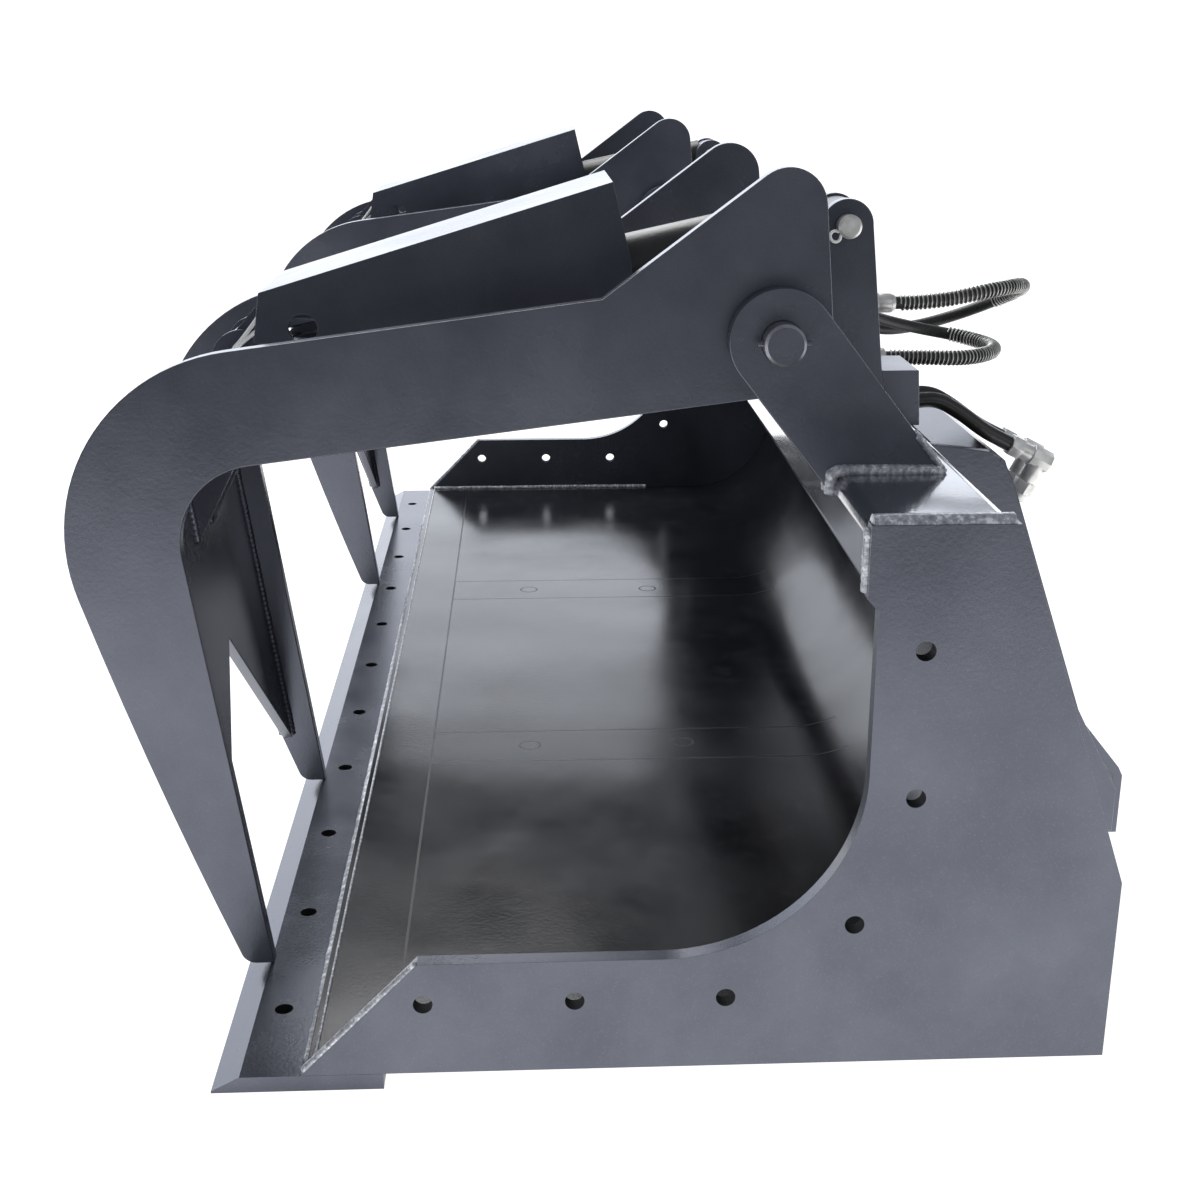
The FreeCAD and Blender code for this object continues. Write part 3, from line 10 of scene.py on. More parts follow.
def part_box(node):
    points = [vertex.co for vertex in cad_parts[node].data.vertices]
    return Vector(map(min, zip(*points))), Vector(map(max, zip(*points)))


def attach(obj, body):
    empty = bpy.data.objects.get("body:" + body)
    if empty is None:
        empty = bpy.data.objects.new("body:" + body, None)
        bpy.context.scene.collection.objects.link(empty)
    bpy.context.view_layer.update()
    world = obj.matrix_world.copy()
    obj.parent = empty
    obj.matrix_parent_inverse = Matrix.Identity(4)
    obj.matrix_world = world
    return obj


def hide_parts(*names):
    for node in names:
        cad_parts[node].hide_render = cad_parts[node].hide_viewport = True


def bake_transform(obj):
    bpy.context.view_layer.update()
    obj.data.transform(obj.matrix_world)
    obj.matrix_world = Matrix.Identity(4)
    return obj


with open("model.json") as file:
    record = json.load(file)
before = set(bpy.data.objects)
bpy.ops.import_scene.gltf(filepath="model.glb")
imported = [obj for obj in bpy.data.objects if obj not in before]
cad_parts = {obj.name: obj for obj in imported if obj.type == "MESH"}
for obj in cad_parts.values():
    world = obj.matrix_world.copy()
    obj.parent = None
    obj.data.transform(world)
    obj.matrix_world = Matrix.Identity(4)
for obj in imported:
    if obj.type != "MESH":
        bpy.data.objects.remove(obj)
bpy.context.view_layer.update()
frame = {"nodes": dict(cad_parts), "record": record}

bl_info = {
    "name": "Grapple Bucket",
    "version": (1, 0, 0),
    "blender": (4, 5, 0),
    "location": "3D View > Sidebar > Grapple",
    "description": "Dresses the grapple bucket with paint, welds, hoses and hardware",
    "category": "Object",
}

# Units, the two sides, and each node's body and material slot from the record
MM = 0.001
SIDES = (("left", 1), ("right", -1))
BODY_OF = {node: body for body, nodes in frame["record"]["behaviour"]["bodies"].items() for node in nodes}
SLOT_OF = {part["node"]: part["material_slot"] for part in frame["record"]["subparts"]}

# Middle of each arm and its cylinder's pins, in metres
ARM = 0.5
BASE_PIN = Vector((0, 0.039, 0.584))
ROD_PIN = Vector((0, -0.447, 0.479))
REACH = (ROD_PIN - BASE_PIN).normalized()

# Hose routes as in the construction: from the port block round to the cylinder. Each point is its
# distance from the arm's middle towards the bucket's middle, its y and its z, in metres.
UPPER_HOSE = ((0.055, 0.101, 0.5095), (0.055, 0.134, 0.5095), (0.057, 0.187, 0.520), (0.095, 0.229, 0.520),
              (0.150, 0.233, 0.504), (0.192, 0.202, 0.481), (0.200, 0.160, 0.467), (0.190, 0.122, 0.464),
              (0.172, 0.090, 0.475), (0.147, 0.066, 0.489), (0.121, 0.052, 0.504), (0.095, 0.037, 0.519),
              (0.069, 0.019, 0.536), (0.052, 0.004, 0.548), (0.046, -0.01738, 0.55136),
              (0.046, -0.03888, 0.54671))
LOWER_HOSE = ((0.055, 0.095, 0.462), (0.055, 0.128, 0.462), (0.058, 0.168, 0.460), (0.088, 0.202, 0.460),
              (0.132, 0.212, 0.459), (0.168, 0.190, 0.462), (0.178, 0.152, 0.468), (0.162, 0.116, 0.478),
              (0.140, 0.090, 0.489), (0.116, 0.070, 0.501), (0.093, 0.058, 0.514), (0.072, 0.048, 0.529),
              (0.053, 0.038, 0.547), (0.046, 0.0209, 0.55952), (0.046, -0.00035, 0.56521))


def srgb(code):
    """Linear RGBA from an sRGB hex colour."""
    values = [int(code[place:place + 2], 16) / 255 for place in (0, 2, 4)]
    linear = [v / 12.92 if v <= 0.04045 else ((v + 0.055) / 1.055) ** 2.4 for v in values]
    return (*linear, 1.0)


def add_node(tree, kind, links=None, **settings):
    """Add a shader node, set its fields and sockets, and link other sockets into it."""
    node = tree.nodes.new(kind)
    for name, value in settings.items():
        if hasattr(node, name):
            setattr(node, name, value)
        else:
            node.inputs[name.replace("_", " ")].default_value = value
    for name, source in (links or {}).items():
        tree.links.new(source, node.inputs[name])
    return node


def calculate(tree, operation, *values):
    """A math node on sockets and numbers."""
    node = add_node(tree, "ShaderNodeMath", operation=operation)
    for place, value in enumerate(values):
        if isinstance(value, (int, float)):
            node.inputs[place].default_value = value
        else:
            tree.links.new(value, node.inputs[place])
    return node.outputs[0]


def blend_colours(tree, share, first, second):
    """Mix two colour sockets or colours by a share."""
    node = add_node(tree, "ShaderNodeMix", {"Factor": share}, data_type="RGBA")
    for name, value in (("A", first), ("B", second)):
        socket = next(item for item in node.inputs if item.name == name and item.type == "RGBA")
        if isinstance(value, tuple):
            socket.default_value = value
        else:
            tree.links.new(value, socket)
    return next(item for item in node.outputs if item.type == "RGBA")


def new_material(name):
    """An empty material, its node tree and its Object coordinates."""
    material = bpy.data.materials.new(name)
    material.use_nodes = True
    tree = material.node_tree
    tree.nodes.clear()
    place = add_node(tree, "ShaderNodeTexCoord").outputs["Object"]
    return material, tree, place


def ramp(tree, source, stops):
    """A colour ramp from (position, colour) stops."""
    node = add_node(tree, "ShaderNodeValToRGB", {"Fac": source})
    elements = node.color_ramp.elements
    while len(elements) < len(stops):
        elements.new(0.5)
    for element, (position, colour) in zip(elements, stops):
        element.position = position
        element.color = colour
    return node.outputs["Color"]


def finish_material(material, tree, shader):
    add_node(tree, "ShaderNodeOutputMaterial", {"Surface": shader.outputs[0]})
    return material


def grey(value):
    return (value, value, value, 1.0)


class PaintSizes(bpy.types.PropertyGroup):
    """Colours and grain of the finishes."""
    graphite: FloatVectorProperty(
        name="Graphite paint", description="Colour of the semi-gloss paint",
        subtype="COLOR", size=4, min=0, max=1, default=srgb("62656f"))
    graphite_dark: FloatVectorProperty(
        name="Graphite shade", description="Darker cloud in the paint",
        subtype="COLOR", size=4, min=0, max=1, default=srgb("535660"))
    # Painted shade: the bowl colour makes the same enamel nearly black inside the bucket.
    bowl: FloatVectorProperty(
        name="Bowl paint", description="Colour of the glossier paint inside the bucket",
        subtype="COLOR", size=4, min=0, max=1, default=srgb("26272b"))
    peel: FloatProperty(
        name="Orange peel", description="Spacing of the paint's orange peel",
        default=3.0 * MM, min=0.5 * MM, subtype="DISTANCE", unit="LENGTH")


class WeldSizes(bpy.types.PropertyGroup):
    """Weld beads."""
    radius: FloatProperty(
        name="Bead radius", description="Half the thickness of a fillet weld",
        default=4.5 * MM, min=0.5 * MM, subtype="DISTANCE", unit="LENGTH")
    ripple: FloatProperty(
        name="Ripple", description="Spacing of the ripples along a bead",
        default=5.0 * MM, min=1.0 * MM, subtype="DISTANCE", unit="LENGTH")


class HoseSizes(bpy.types.PropertyGroup):
    """Hoses and their spring guards."""
    diameter: FloatProperty(
        name="Hose diameter", description="Outside of a hydraulic hose",
        default=11.0 * MM, min=4.0 * MM, subtype="DISTANCE", unit="LENGTH")
    spring_wire: FloatProperty(
        name="Spring wire", description="Wire of the spring guards",
        default=1.5 * MM, min=0.5 * MM, subtype="DISTANCE", unit="LENGTH")
    spring_pitch: FloatProperty(
        name="Spring pitch", description="Distance between the turns of a spring guard",
        default=3.9 * MM, min=1.0 * MM, subtype="DISTANCE", unit="LENGTH")


def graphite_paint(name="graphite_enamel", smoothest=0.2, roughest=0.3, **coat):
    """Semi-gloss graphite enamel with metallic flake on hot-rolled plate: a fine orange peel that
    breaks up the highlights, faint clouds, and specks of flake painted lighter as painted glints."""
    paint = bpy.context.scene.grapple_paint
    material, tree, place = new_material(name)
    cloud = add_node(tree, "ShaderNodeTexNoise", {"Vector": place}, Scale=7.0, Detail=5.0, Roughness=0.6)
    fleck = add_node(tree, "ShaderNodeTexNoise", {"Vector": place}, Scale=800.0, Detail=3.0)
    base = ramp(tree, cloud.outputs["Fac"], [(0.35, tuple(paint.graphite_dark)), (0.65, tuple(paint.graphite))])
    # Painted highlight: lighter specks of the flake stand in for the glints it catches.
    specks = add_node(tree, "ShaderNodeMapRange", {"Value": fleck.outputs["Fac"]},
                      From_Min=0.56, From_Max=0.72, To_Min=0.0, To_Max=0.1)
    colour = blend_colours(tree, specks.outputs["Result"], base, srgb("9a9da8"))
    rough = add_node(tree, "ShaderNodeMapRange", {"Value": cloud.outputs["Fac"]},
                     From_Min=0.3, From_Max=0.7, To_Min=smoothest, To_Max=roughest)
    peel = add_node(tree, "ShaderNodeTexNoise", {"Vector": place}, Scale=1.0 / paint.peel, Detail=2.0)
    bump = add_node(tree, "ShaderNodeBump", {"Height": peel.outputs["Fac"]}, Strength=0.16, Distance=0.0006)
    shader = add_node(tree, "ShaderNodeBsdfPrincipled", {
        "Base Color": colour, "Roughness": rough.outputs["Result"], "Normal": bump.outputs["Normal"]},
        Metallic=0.6, **coat)
    return finish_material(material, tree, shader)


def tube_paint():
    """The same enamel laid thicker on the smooth wall of the rolled tube, where it flows out to a wet
    gloss."""
    return graphite_paint("graphite_enamel_on_tube", 0.1, 0.18, Coat_Weight=0.8, Coat_Roughness=0.08)


def heat_marks(tree, place):
    """Where the welds under the floor show through it as thin lines and small rings."""
    axes = add_node(tree, "ShaderNodeSeparateXYZ", {"Vector": place})
    across = calculate(tree, "ABSOLUTE", axes.outputs["X"])
    marks = calculate(tree, "COMPARE", axes.outputs["Y"], -0.325, 0.0011)
    for line in (0.228, 0.306):
        marks = calculate(tree, "MAXIMUM", marks, calculate(tree, "COMPARE", across, line, 0.0011))
    folded = add_node(tree, "ShaderNodeCombineXYZ", {"X": across, "Y": axes.outputs["Y"]})
    for spot in ((0.266, -0.222, 0), (0.264, -0.059, 0)):
        away = add_node(tree, "ShaderNodeVectorMath", {"Vector": folded.outputs[0]}, operation="DISTANCE")
        away.inputs[1].default_value = spot
        marks = calculate(tree, "MAXIMUM", marks, calculate(tree, "COMPARE", away.outputs["Value"], 0.011, 0.0012))
    on_floor = calculate(tree, "LESS_THAN", axes.outputs["Z"], 0.03)
    behind_edge = calculate(tree, "GREATER_THAN", axes.outputs["Y"], -0.3265)
    marks = calculate(tree, "MULTIPLY", calculate(tree, "MULTIPLY", marks, on_floor), behind_edge)
    return calculate(tree, "MULTIPLY", marks, 0.6)


def bowl_paint():
    """The same enamel inside the bucket, glossier and painted nearly black as painted shade for the
    recessed bowl, on sheet that isn't quite flat, with soft scuffs and the heat marks of the welds below."""
    paint = bpy.context.scene.grapple_paint
    material, tree, place = new_material("graphite_enamel_inside")
    cloud = add_node(tree, "ShaderNodeTexNoise", {"Vector": place}, Scale=5.0, Detail=6.0, Roughness=0.62)
    marks = heat_marks(tree, place)
    scuff = add_node(tree, "ShaderNodeTexNoise", {"Vector": place}, Scale=38.0, Detail=5.0, Roughness=0.7)
    # Painted shade: the nearly black base stands in for the shade in the recessed bowl.
    base = ramp(tree, cloud.outputs["Fac"], [(0.35, srgb("17181b")), (0.7, tuple(paint.bowl))])
    dusty = add_node(tree, "ShaderNodeMapRange", {"Value": scuff.outputs["Fac"]},
                     From_Min=0.52, From_Max=0.8, To_Min=0.0, To_Max=0.4)
    colour = blend_colours(tree, dusty.outputs["Result"], base, srgb("4b4c51"))
    colour = blend_colours(tree, marks, colour, srgb("0b0b0c"))
    rough = add_node(tree, "ShaderNodeMapRange", {"Value": cloud.outputs["Fac"]},
                     From_Min=0.3, From_Max=0.7, To_Min=0.13, To_Max=0.25)
    rough = calculate(tree, "ADD", rough.outputs["Result"], calculate(tree, "MULTIPLY", marks, 0.3))
    wave = add_node(tree, "ShaderNodeTexNoise", {"Vector": place}, Scale=3.5, Detail=1.0)
    uneven = add_node(tree, "ShaderNodeBump", {"Height": wave.outputs["Fac"]}, Strength=0.35, Distance=0.012)
    peel = add_node(tree, "ShaderNodeTexNoise", {"Vector": place}, Scale=1.0 / paint.peel, Detail=2.0)
    bump = add_node(tree, "ShaderNodeBump", {"Height": peel.outputs["Fac"], "Normal": uneven.outputs["Normal"]},
                    Strength=0.12, Distance=0.0005)
    shader = add_node(tree, "ShaderNodeBsdfPrincipled", {
        "Base Color": colour, "Roughness": rough, "Normal": bump.outputs["Normal"]}, Metallic=0.1)
    return finish_material(material, tree, shader)


def zinc_plate(name="zinc_plated_steel", dull="c4c3be", bright="e6e6e4", metal=0.5):
    """Bright zinc plating on turned steel: cool white metal with faint blotches."""
    material, tree, place = new_material(name)
    blotch = add_node(tree, "ShaderNodeTexNoise", {"Vector": place}, Scale=120.0, Detail=3.0)
    colour = ramp(tree, blotch.outputs["Fac"], [(0.3, srgb(dull)), (0.7, srgb(bright))])
    rough = add_node(tree, "ShaderNodeMapRange", {"Value": blotch.outputs["Fac"]}, To_Min=0.22, To_Max=0.42)
    shader = add_node(tree, "ShaderNodeBsdfPrincipled", {
        "Base Color": colour, "Roughness": rough.outputs["Result"]}, Metallic=metal)
    return finish_material(material, tree, shader)


def zinc_wire():
    """Zinc on drawn wire, painted near-white and without metal as a painted highlight, so the cotters show bright
    though they sit in shade.
    """
    return zinc_plate("zinc_plated_wire", "f0f0ee", "fdfdfc", 0.0)


def cylinder_enamel():
    """Black enamel on the cylinders: thicker and warmer than the plates' paint, with a wet gloss."""
    material, tree, place = new_material("black_cylinder_enamel")
    cloud = add_node(tree, "ShaderNodeTexNoise", {"Vector": place}, Scale=14.0, Detail=4.0)
    colour = ramp(tree, cloud.outputs["Fac"], [(0.35, srgb("1e1e1d")), (0.7, srgb("30302d"))])
    rough = add_node(tree, "ShaderNodeMapRange", {"Value": cloud.outputs["Fac"]}, To_Min=0.24, To_Max=0.4)
    peel = add_node(tree, "ShaderNodeTexNoise", {"Vector": place}, Scale=260.0, Detail=2.0)
    bump = add_node(tree, "ShaderNodeBump", {"Height": peel.outputs["Fac"]}, Strength=0.3, Distance=0.0006)
    shader = add_node(tree, "ShaderNodeBsdfPrincipled", {
        "Base Color": colour, "Roughness": rough.outputs["Result"], "Normal": bump.outputs["Normal"]})
    return finish_material(material, tree, shader)


def bright_steel():
    """Turned steel with an oiled grey surface."""
    material, tree, place = new_material("turned_steel")
    blotch = add_node(tree, "ShaderNodeTexNoise", {"Vector": place}, Scale=90.0, Detail=4.0)
    colour = ramp(tree, blotch.outputs["Fac"], [(0.3, srgb("808187")), (0.7, srgb("a5a6ac"))])
    rough = add_node(tree, "ShaderNodeMapRange", {"Value": blotch.outputs["Fac"]}, To_Min=0.3, To_Max=0.5)
    shader = add_node(tree, "ShaderNodeBsdfPrincipled", {
        "Base Color": colour, "Roughness": rough.outputs["Result"]}, Metallic=0.9)
    return finish_material(material, tree, shader)


def hard_chrome():
    """Ground hard chrome: a near mirror with a very fine draw."""
    material, tree, place = new_material("hard_chrome")
    draw = add_node(tree, "ShaderNodeTexNoise", {"Vector": place}, Scale=400.0, Detail=2.0)
    rough = add_node(tree, "ShaderNodeMapRange", {"Value": draw.outputs["Fac"]}, To_Min=0.06, To_Max=0.14)
    shader = add_node(tree, "ShaderNodeBsdfPrincipled", {"Roughness": rough.outputs["Result"]},
                      Base_Color=srgb("d8dadd"), Metallic=1.0)
    return finish_material(material, tree, shader)


def hose_rubber():
    """Wrapped hydraulic hose cover: dull black synthetic rubber with a cloth imprint."""
    material, tree, place = new_material("wrapped_hose_rubber")
    wrap = add_node(tree, "ShaderNodeTexNoise", {"Vector": place}, Scale=700.0, Detail=2.0)
    colour = ramp(tree, wrap.outputs["Fac"], [(0.3, srgb("1c1d1c")), (0.7, srgb("343532"))])
    bump = add_node(tree, "ShaderNodeBump", {"Height": wrap.outputs["Fac"]}, Strength=0.3, Distance=0.0004)
    shader = add_node(tree, "ShaderNodeBsdfPrincipled", {
        "Base Color": colour, "Normal": bump.outputs["Normal"]}, Roughness=0.42)
    return finish_material(material, tree, shader)


def spring_steel():
    """Oil-tempered spring wire: grey-brown steel with a dull sheen."""
    material, tree, place = new_material("oil_tempered_spring_wire")
    stain = add_node(tree, "ShaderNodeTexNoise", {"Vector": place}, Scale=60.0, Detail=3.0)
    colour = ramp(tree, stain.outputs["Fac"], [(0.35, srgb("9b9c98")), (0.65, srgb("c8c9c4"))])
    rough = add_node(tree, "ShaderNodeMapRange", {"Value": stain.outputs["Fac"]}, To_Min=0.3, To_Max=0.5)
    shader = add_node(tree, "ShaderNodeBsdfPrincipled", {
        "Base Color": colour, "Roughness": rough.outputs["Result"]}, Metallic=0.8)
    return finish_material(material, tree, shader)


def painted_weld():
    """Weld bead under paint, with painted highlights: the near-white patches on the ripples stand in for light caught
    on them.
    """
    material, tree, place = new_material("thinly_painted_weld")
    patch = add_node(tree, "ShaderNodeTexNoise", {"Vector": place}, Scale=210.0, Detail=4.0, Roughness=0.7)
    # Painted highlight: the near-white stops stand in for light caught on the ripples.
    colour = ramp(tree, patch.outputs["Fac"], [(0.35, srgb("84868d")), (0.52, srgb("b0b2b9")), (0.64, srgb("f0f1f5"))])
    bump = add_node(tree, "ShaderNodeBump", {"Height": patch.outputs["Fac"]}, Strength=0.3, Distance=0.0006)
    shader = add_node(tree, "ShaderNodeBsdfPrincipled", {
        "Base Color": colour, "Normal": bump.outputs["Normal"]}, Roughness=0.28, Metallic=0.25)
    return finish_material(material, tree, shader)


def mill_scale():
    """Painted shade for the drilled holes: a dull blue-black that stands in for the shade inside them."""
    material, tree, place = new_material("mill_scale_in_holes")
    hole_shade_noise = add_node(tree, "ShaderNodeTexNoise", {"Vector": place}, Scale=300.0, Detail=3.0)
    # Painted shade: the near-black colour stands in for the shade inside the holes.
    colour = ramp(tree, hole_shade_noise.outputs["Fac"], [(0.35, srgb("0b0b0c")), (0.7, srgb("1b1b1d"))])
    shader = add_node(tree, "ShaderNodeBsdfPrincipled", {"Base Color": colour}, Roughness=0.8)
    return finish_material(material, tree, shader)


FINISHES = {}


def make_finishes():
    FINISHES.update({
        "painted_steel": graphite_paint(),
        "tube": tube_paint(),
        "bowl": bowl_paint(),
        "zinc_plated_steel": zinc_plate(),
        "zinc_wire": zinc_wire(),
        "bright_steel": bright_steel(),
        "chromed_rod": hard_chrome(),
        "hose_rubber": hose_rubber(),
        "spring": spring_steel(),
        # The weld finish carries painted highlights on the beads.
        "weld": painted_weld(),
        "cylinder": cylinder_enamel(),
        "hole_shade": mill_scale(),
    })


def own(name, mesh, body, finish):
    """A finished piece at the origin, riding on its body."""
    piece = bpy.data.objects.new(name, mesh)
    bpy.context.scene.collection.objects.link(piece)
    mesh.materials.clear()
    mesh.materials.append(FINISHES[finish])
    if body:
        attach(piece, body)
    return piece


def smooth_by_angle(form, limit):
    """Smooth faces, sharp where two faces meet at more than the limit."""
    for face in form.faces:
        face.smooth = True
    for edge in form.edges:
        edge.smooth = len(edge.link_faces) == 2 and edge.calc_face_angle(0) < limit


def ease(form, width, corner=math.radians(50)):
    """Bevel every edge that is sharper than the corner."""
    sharp = [edge for edge in form.edges if len(edge.link_faces) == 2 and edge.calc_face_angle(0) > corner]
    bmesh.ops.bevel(form, geom=sharp, offset=width, offset_type="OFFSET", segments=3, profile=0.5,
                    affect="EDGES", clamp_overlap=True, material=-1)


def mesh_of(form, name, limit=math.radians(32)):
    smooth_by_angle(form, limit)
    mesh = bpy.data.meshes.new(name)
    form.to_mesh(mesh)
    form.free()
    return mesh


def dress(node, finish, bevel):
    """A copy of a CAD node with its edges eased, for the light to catch them."""
    form = bmesh.new()
    form.from_mesh(frame["nodes"][node].data)
    bmesh.ops.remove_doubles(form, verts=form.verts, dist=0.02 * MM)
    bmesh.ops.dissolve_limit(form, angle_limit=math.radians(0.5), verts=form.verts, edges=form.edges,
                             delimit={"NORMAL"})
    ease(form, bevel)
    # The cutting edge is bevelled at 28 degrees, and that line stays sharp.
    limit = math.radians(24 if node == "cutting_edge" else 32)
    mesh = mesh_of(form, node + "_dressed", limit)
    piece = own(node + "_dressed", mesh, BODY_OF[node], finish)
    # Large flat faces keep their own normals, so only the eased edges shade round.
    normals = piece.modifiers.new("flat_faces_first", "WEIGHTED_NORMAL")
    normals.keep_sharp = True
    normals.weight = 100
    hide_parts(node)
    return piece


def round_curve(name, kind, spots, radius, rounds):
    """A curve through spots, with a round section where its radius isn't 0."""
    data = bpy.data.curves.new(name, "CURVE")
    data.dimensions = "3D"
    data.resolution_u = 8
    data.bevel_depth = radius
    data.bevel_resolution = rounds
    data.use_fill_caps = True
    spline = data.splines.new(kind)
    spline.points.add(len(spots) - 1)
    for point, spot in zip(spline.points, spots):
        point.co = (*spot, 1.0)
    return data, spline


def mesh_from(data):
    """The mesh of a curve, which is then removed."""
    item = bpy.data.objects.new(data.name, data)
    mesh = bpy.data.meshes.new_from_object(item)
    mesh.name = data.name
    bpy.data.objects.remove(item)
    bpy.data.curves.remove(data)
    for face in mesh.polygons:
        face.use_smooth = True
    return mesh


def curve_mesh(name, points, radius=0.0, order=3, rounds=4):
    """The mesh of a NURBS curve through control points, as a line or as a round wire."""
    data, spline = round_curve(name, "NURBS", points, radius, rounds)
    spline.order_u = order
    spline.use_endpoint_u = True
    return mesh_from(data)


def wire_mesh(name, spots, radius, rounds, swell=(), closed=False):
    """The mesh of a wire through every spot, thicker or thinner by its swell there."""
    data, spline = round_curve(name, "POLY", spots, radius, rounds)
    spline.use_cyclic_u = closed
    for point, share in zip(spline.points, swell):
        point.radius = share
    return mesh_from(data)


def join_meshes(name, meshes):
    """One mesh from several."""
    form = bmesh.new()
    for mesh in meshes:
        form.from_mesh(mesh)
        bpy.data.meshes.remove(mesh)
    joined = bpy.data.meshes.new(name)
    form.to_mesh(joined)
    form.free()
    return joined


def add_bar(form, start, end, radius, sides=40, far_radius=None):
    """A round or many-sided bar between two points."""
    start, end = Vector(start), Vector(end)
    turn = (end - start).to_track_quat("Z", "X").to_matrix().to_4x4()
    bmesh.ops.create_cone(form, cap_ends=True, segments=sides, radius1=radius,
                          radius2=radius if far_radius is None else far_radius,
                          depth=(end - start).length, matrix=Matrix.Translation((start + end) / 2) @ turn)


def add_bead(form, points, radius=None, roughness=1.0):
    """A rippled weld bead along a line of points, closed where it ends at its start."""
    weld = bpy.context.scene.grapple_weld
    step = weld.ripple / 4
    spots = [Vector(points[0])]
    for start, end in zip(points, points[1:]):
        start, end = Vector(start), Vector(end)
        count = max(1, round((end - start).length / step))
        spots += [start.lerp(end, index / count) for index in range(1, count + 1)]
    closed = (spots[0] - spots[-1]).length < 0.1 * MM
    if closed:
        spots.pop()
    swell = [1 + roughness * (0.08 * math.cos(math.pi * index / 2) + 0.18 * noise.noise(spot * 60))
             for index, spot in enumerate(spots)]
    if not closed:
        swell[0] *= 0.55
        swell[-1] *= 0.55
    bead = wire_mesh("bead", spots, radius or weld.radius, 3, swell, closed)
    form.from_mesh(bead)
    bpy.data.meshes.remove(bead)


def own_beads(form, name, body, finish="weld"):
    """Weld beads as one piece. Their ripples are round, so only the ends of a bead stay sharp."""
    return own(name, mesh_of(form, name, math.radians(70)), body, finish)


def circle(centre, axis, radius, parts=48):
    """Points of a closed circle round an axis."""
    axis = Vector(axis).normalized()
    first = axis.orthogonal().normalized()
    second = axis.cross(first)
    turns = [2 * math.pi * part / parts for part in range(parts + 1)]
    return [Vector(centre) + (first * math.cos(turn) + second * math.sin(turn)) * radius for turn in turns]


class GRAPPLE_OT_finishes(bpy.types.Operator):
    """Make the paints and metals"""
    bl_idname = "grapple.finishes"
    bl_label = "Finishes"

    def execute(self, context):
        make_finishes()
        return {"FINISHED"}


REBUILT = ("hose_fittings", "hydraulic_hoses_left", "hydraulic_hoses_right")

# Pieces whose paint isn't the plates' enamel. The photograph shows no bright washers beside the lugs.
# On the bucket's shell the bowl finish is painted shade inside.
OTHER_FINISH = {"bucket_shell": "bowl", "top_tube": "tube", "supply_pipes": "cylinder",
                "hinge_cross_pins": "painted_steel"}
for side, _ in SIDES:
    OTHER_FINISH["rod_washers_" + side] = "painted_steel"
    for piece in ("barrel", "base_eye", "gland", "barrel_ports", "rod_eye"):
        OTHER_FINISH[f"{piece}_{side}"] = "cylinder"


class GRAPPLE_OT_steelwork(bpy.types.Operator):
    """Dress the plates, tubes and cylinders"""
    bl_idname = "grapple.steelwork"
    bl_label = "Steelwork"

    def execute(self, context):
        for node in sorted(frame["nodes"]):
            if node in REBUILT:
                continue
            finish = OTHER_FINISH.get(node, SLOT_OF[node])
            piece = dress(node, finish, 0.9 * MM if SLOT_OF[node] == "painted_steel" else 0.4 * MM)
            if node == "bucket_shell":
                paint_outside(piece.data)
            elif node.startswith("side_plate"):
                darken_holes(piece.data, "x")
            elif node == "cutting_edge":
                darken_holes(piece.data, "z")
            elif node.startswith("hinge_pin"):
                paint_ends(piece.data)
        return {"FINISHED"}


def paint_outside(mesh):
    """Painted shade: the shell keeps the nearly black bowl paint on faces that look up or forward into the bowl. Faces
    that look back or down are its outside and get the lighter enamel.
    """
    mesh.materials.append(FINISHES["painted_steel"])
    for face in mesh.polygons:
        face.material_index = int(face.normal.z - face.normal.y < 0)


def paint_ends(mesh):
    """The hinge pins were painted in place, and only the eased rim of each end shows steel."""
    mesh.materials.append(FINISHES["painted_steel"])
    for face in mesh.polygons:
        face.material_index = int(abs(face.normal.x) > 0.95)


def darken_holes(mesh, axis, largest=25 * MM):
    """Painted shade on the walls of the bolt holes, which are the small loops of faces along an axis."""
    # Painted shade in the holes.
    mesh.materials.append(FINISHES["hole_shade"])
    form = bmesh.new()
    form.from_mesh(mesh)
    walls = {face for face in form.faces if abs(getattr(face.normal, axis)) < 0.5}
    while walls:
        loop, found = [], [walls.pop()]
        while found:
            face = found.pop()
            loop.append(face)
            near = {other for edge in face.edges for other in edge.link_faces} & walls
            walls -= near
            found += near
        spots = [vert.co for face in loop for vert in face.verts]
        spans = [max(getattr(spot, way) for spot in spots) - min(getattr(spot, way) for spot in spots)
                 for way in "xyz" if way != axis]
        if max(spans) < largest:
            for face in loop:
                face.material_index = 1
    form.to_mesh(mesh)
    form.free()


class GRAPPLE_OT_welds(bpy.types.Operator):
    """Lay the weld beads"""
    bl_idname = "grapple.welds"
    bl_label = "Weld beads"

    def execute(self, context):
        bucket_welds()
        for side, sign in SIDES:
            arm_welds(side, sign)
            cylinder_welds(side, sign)
        return {"FINISHED"}


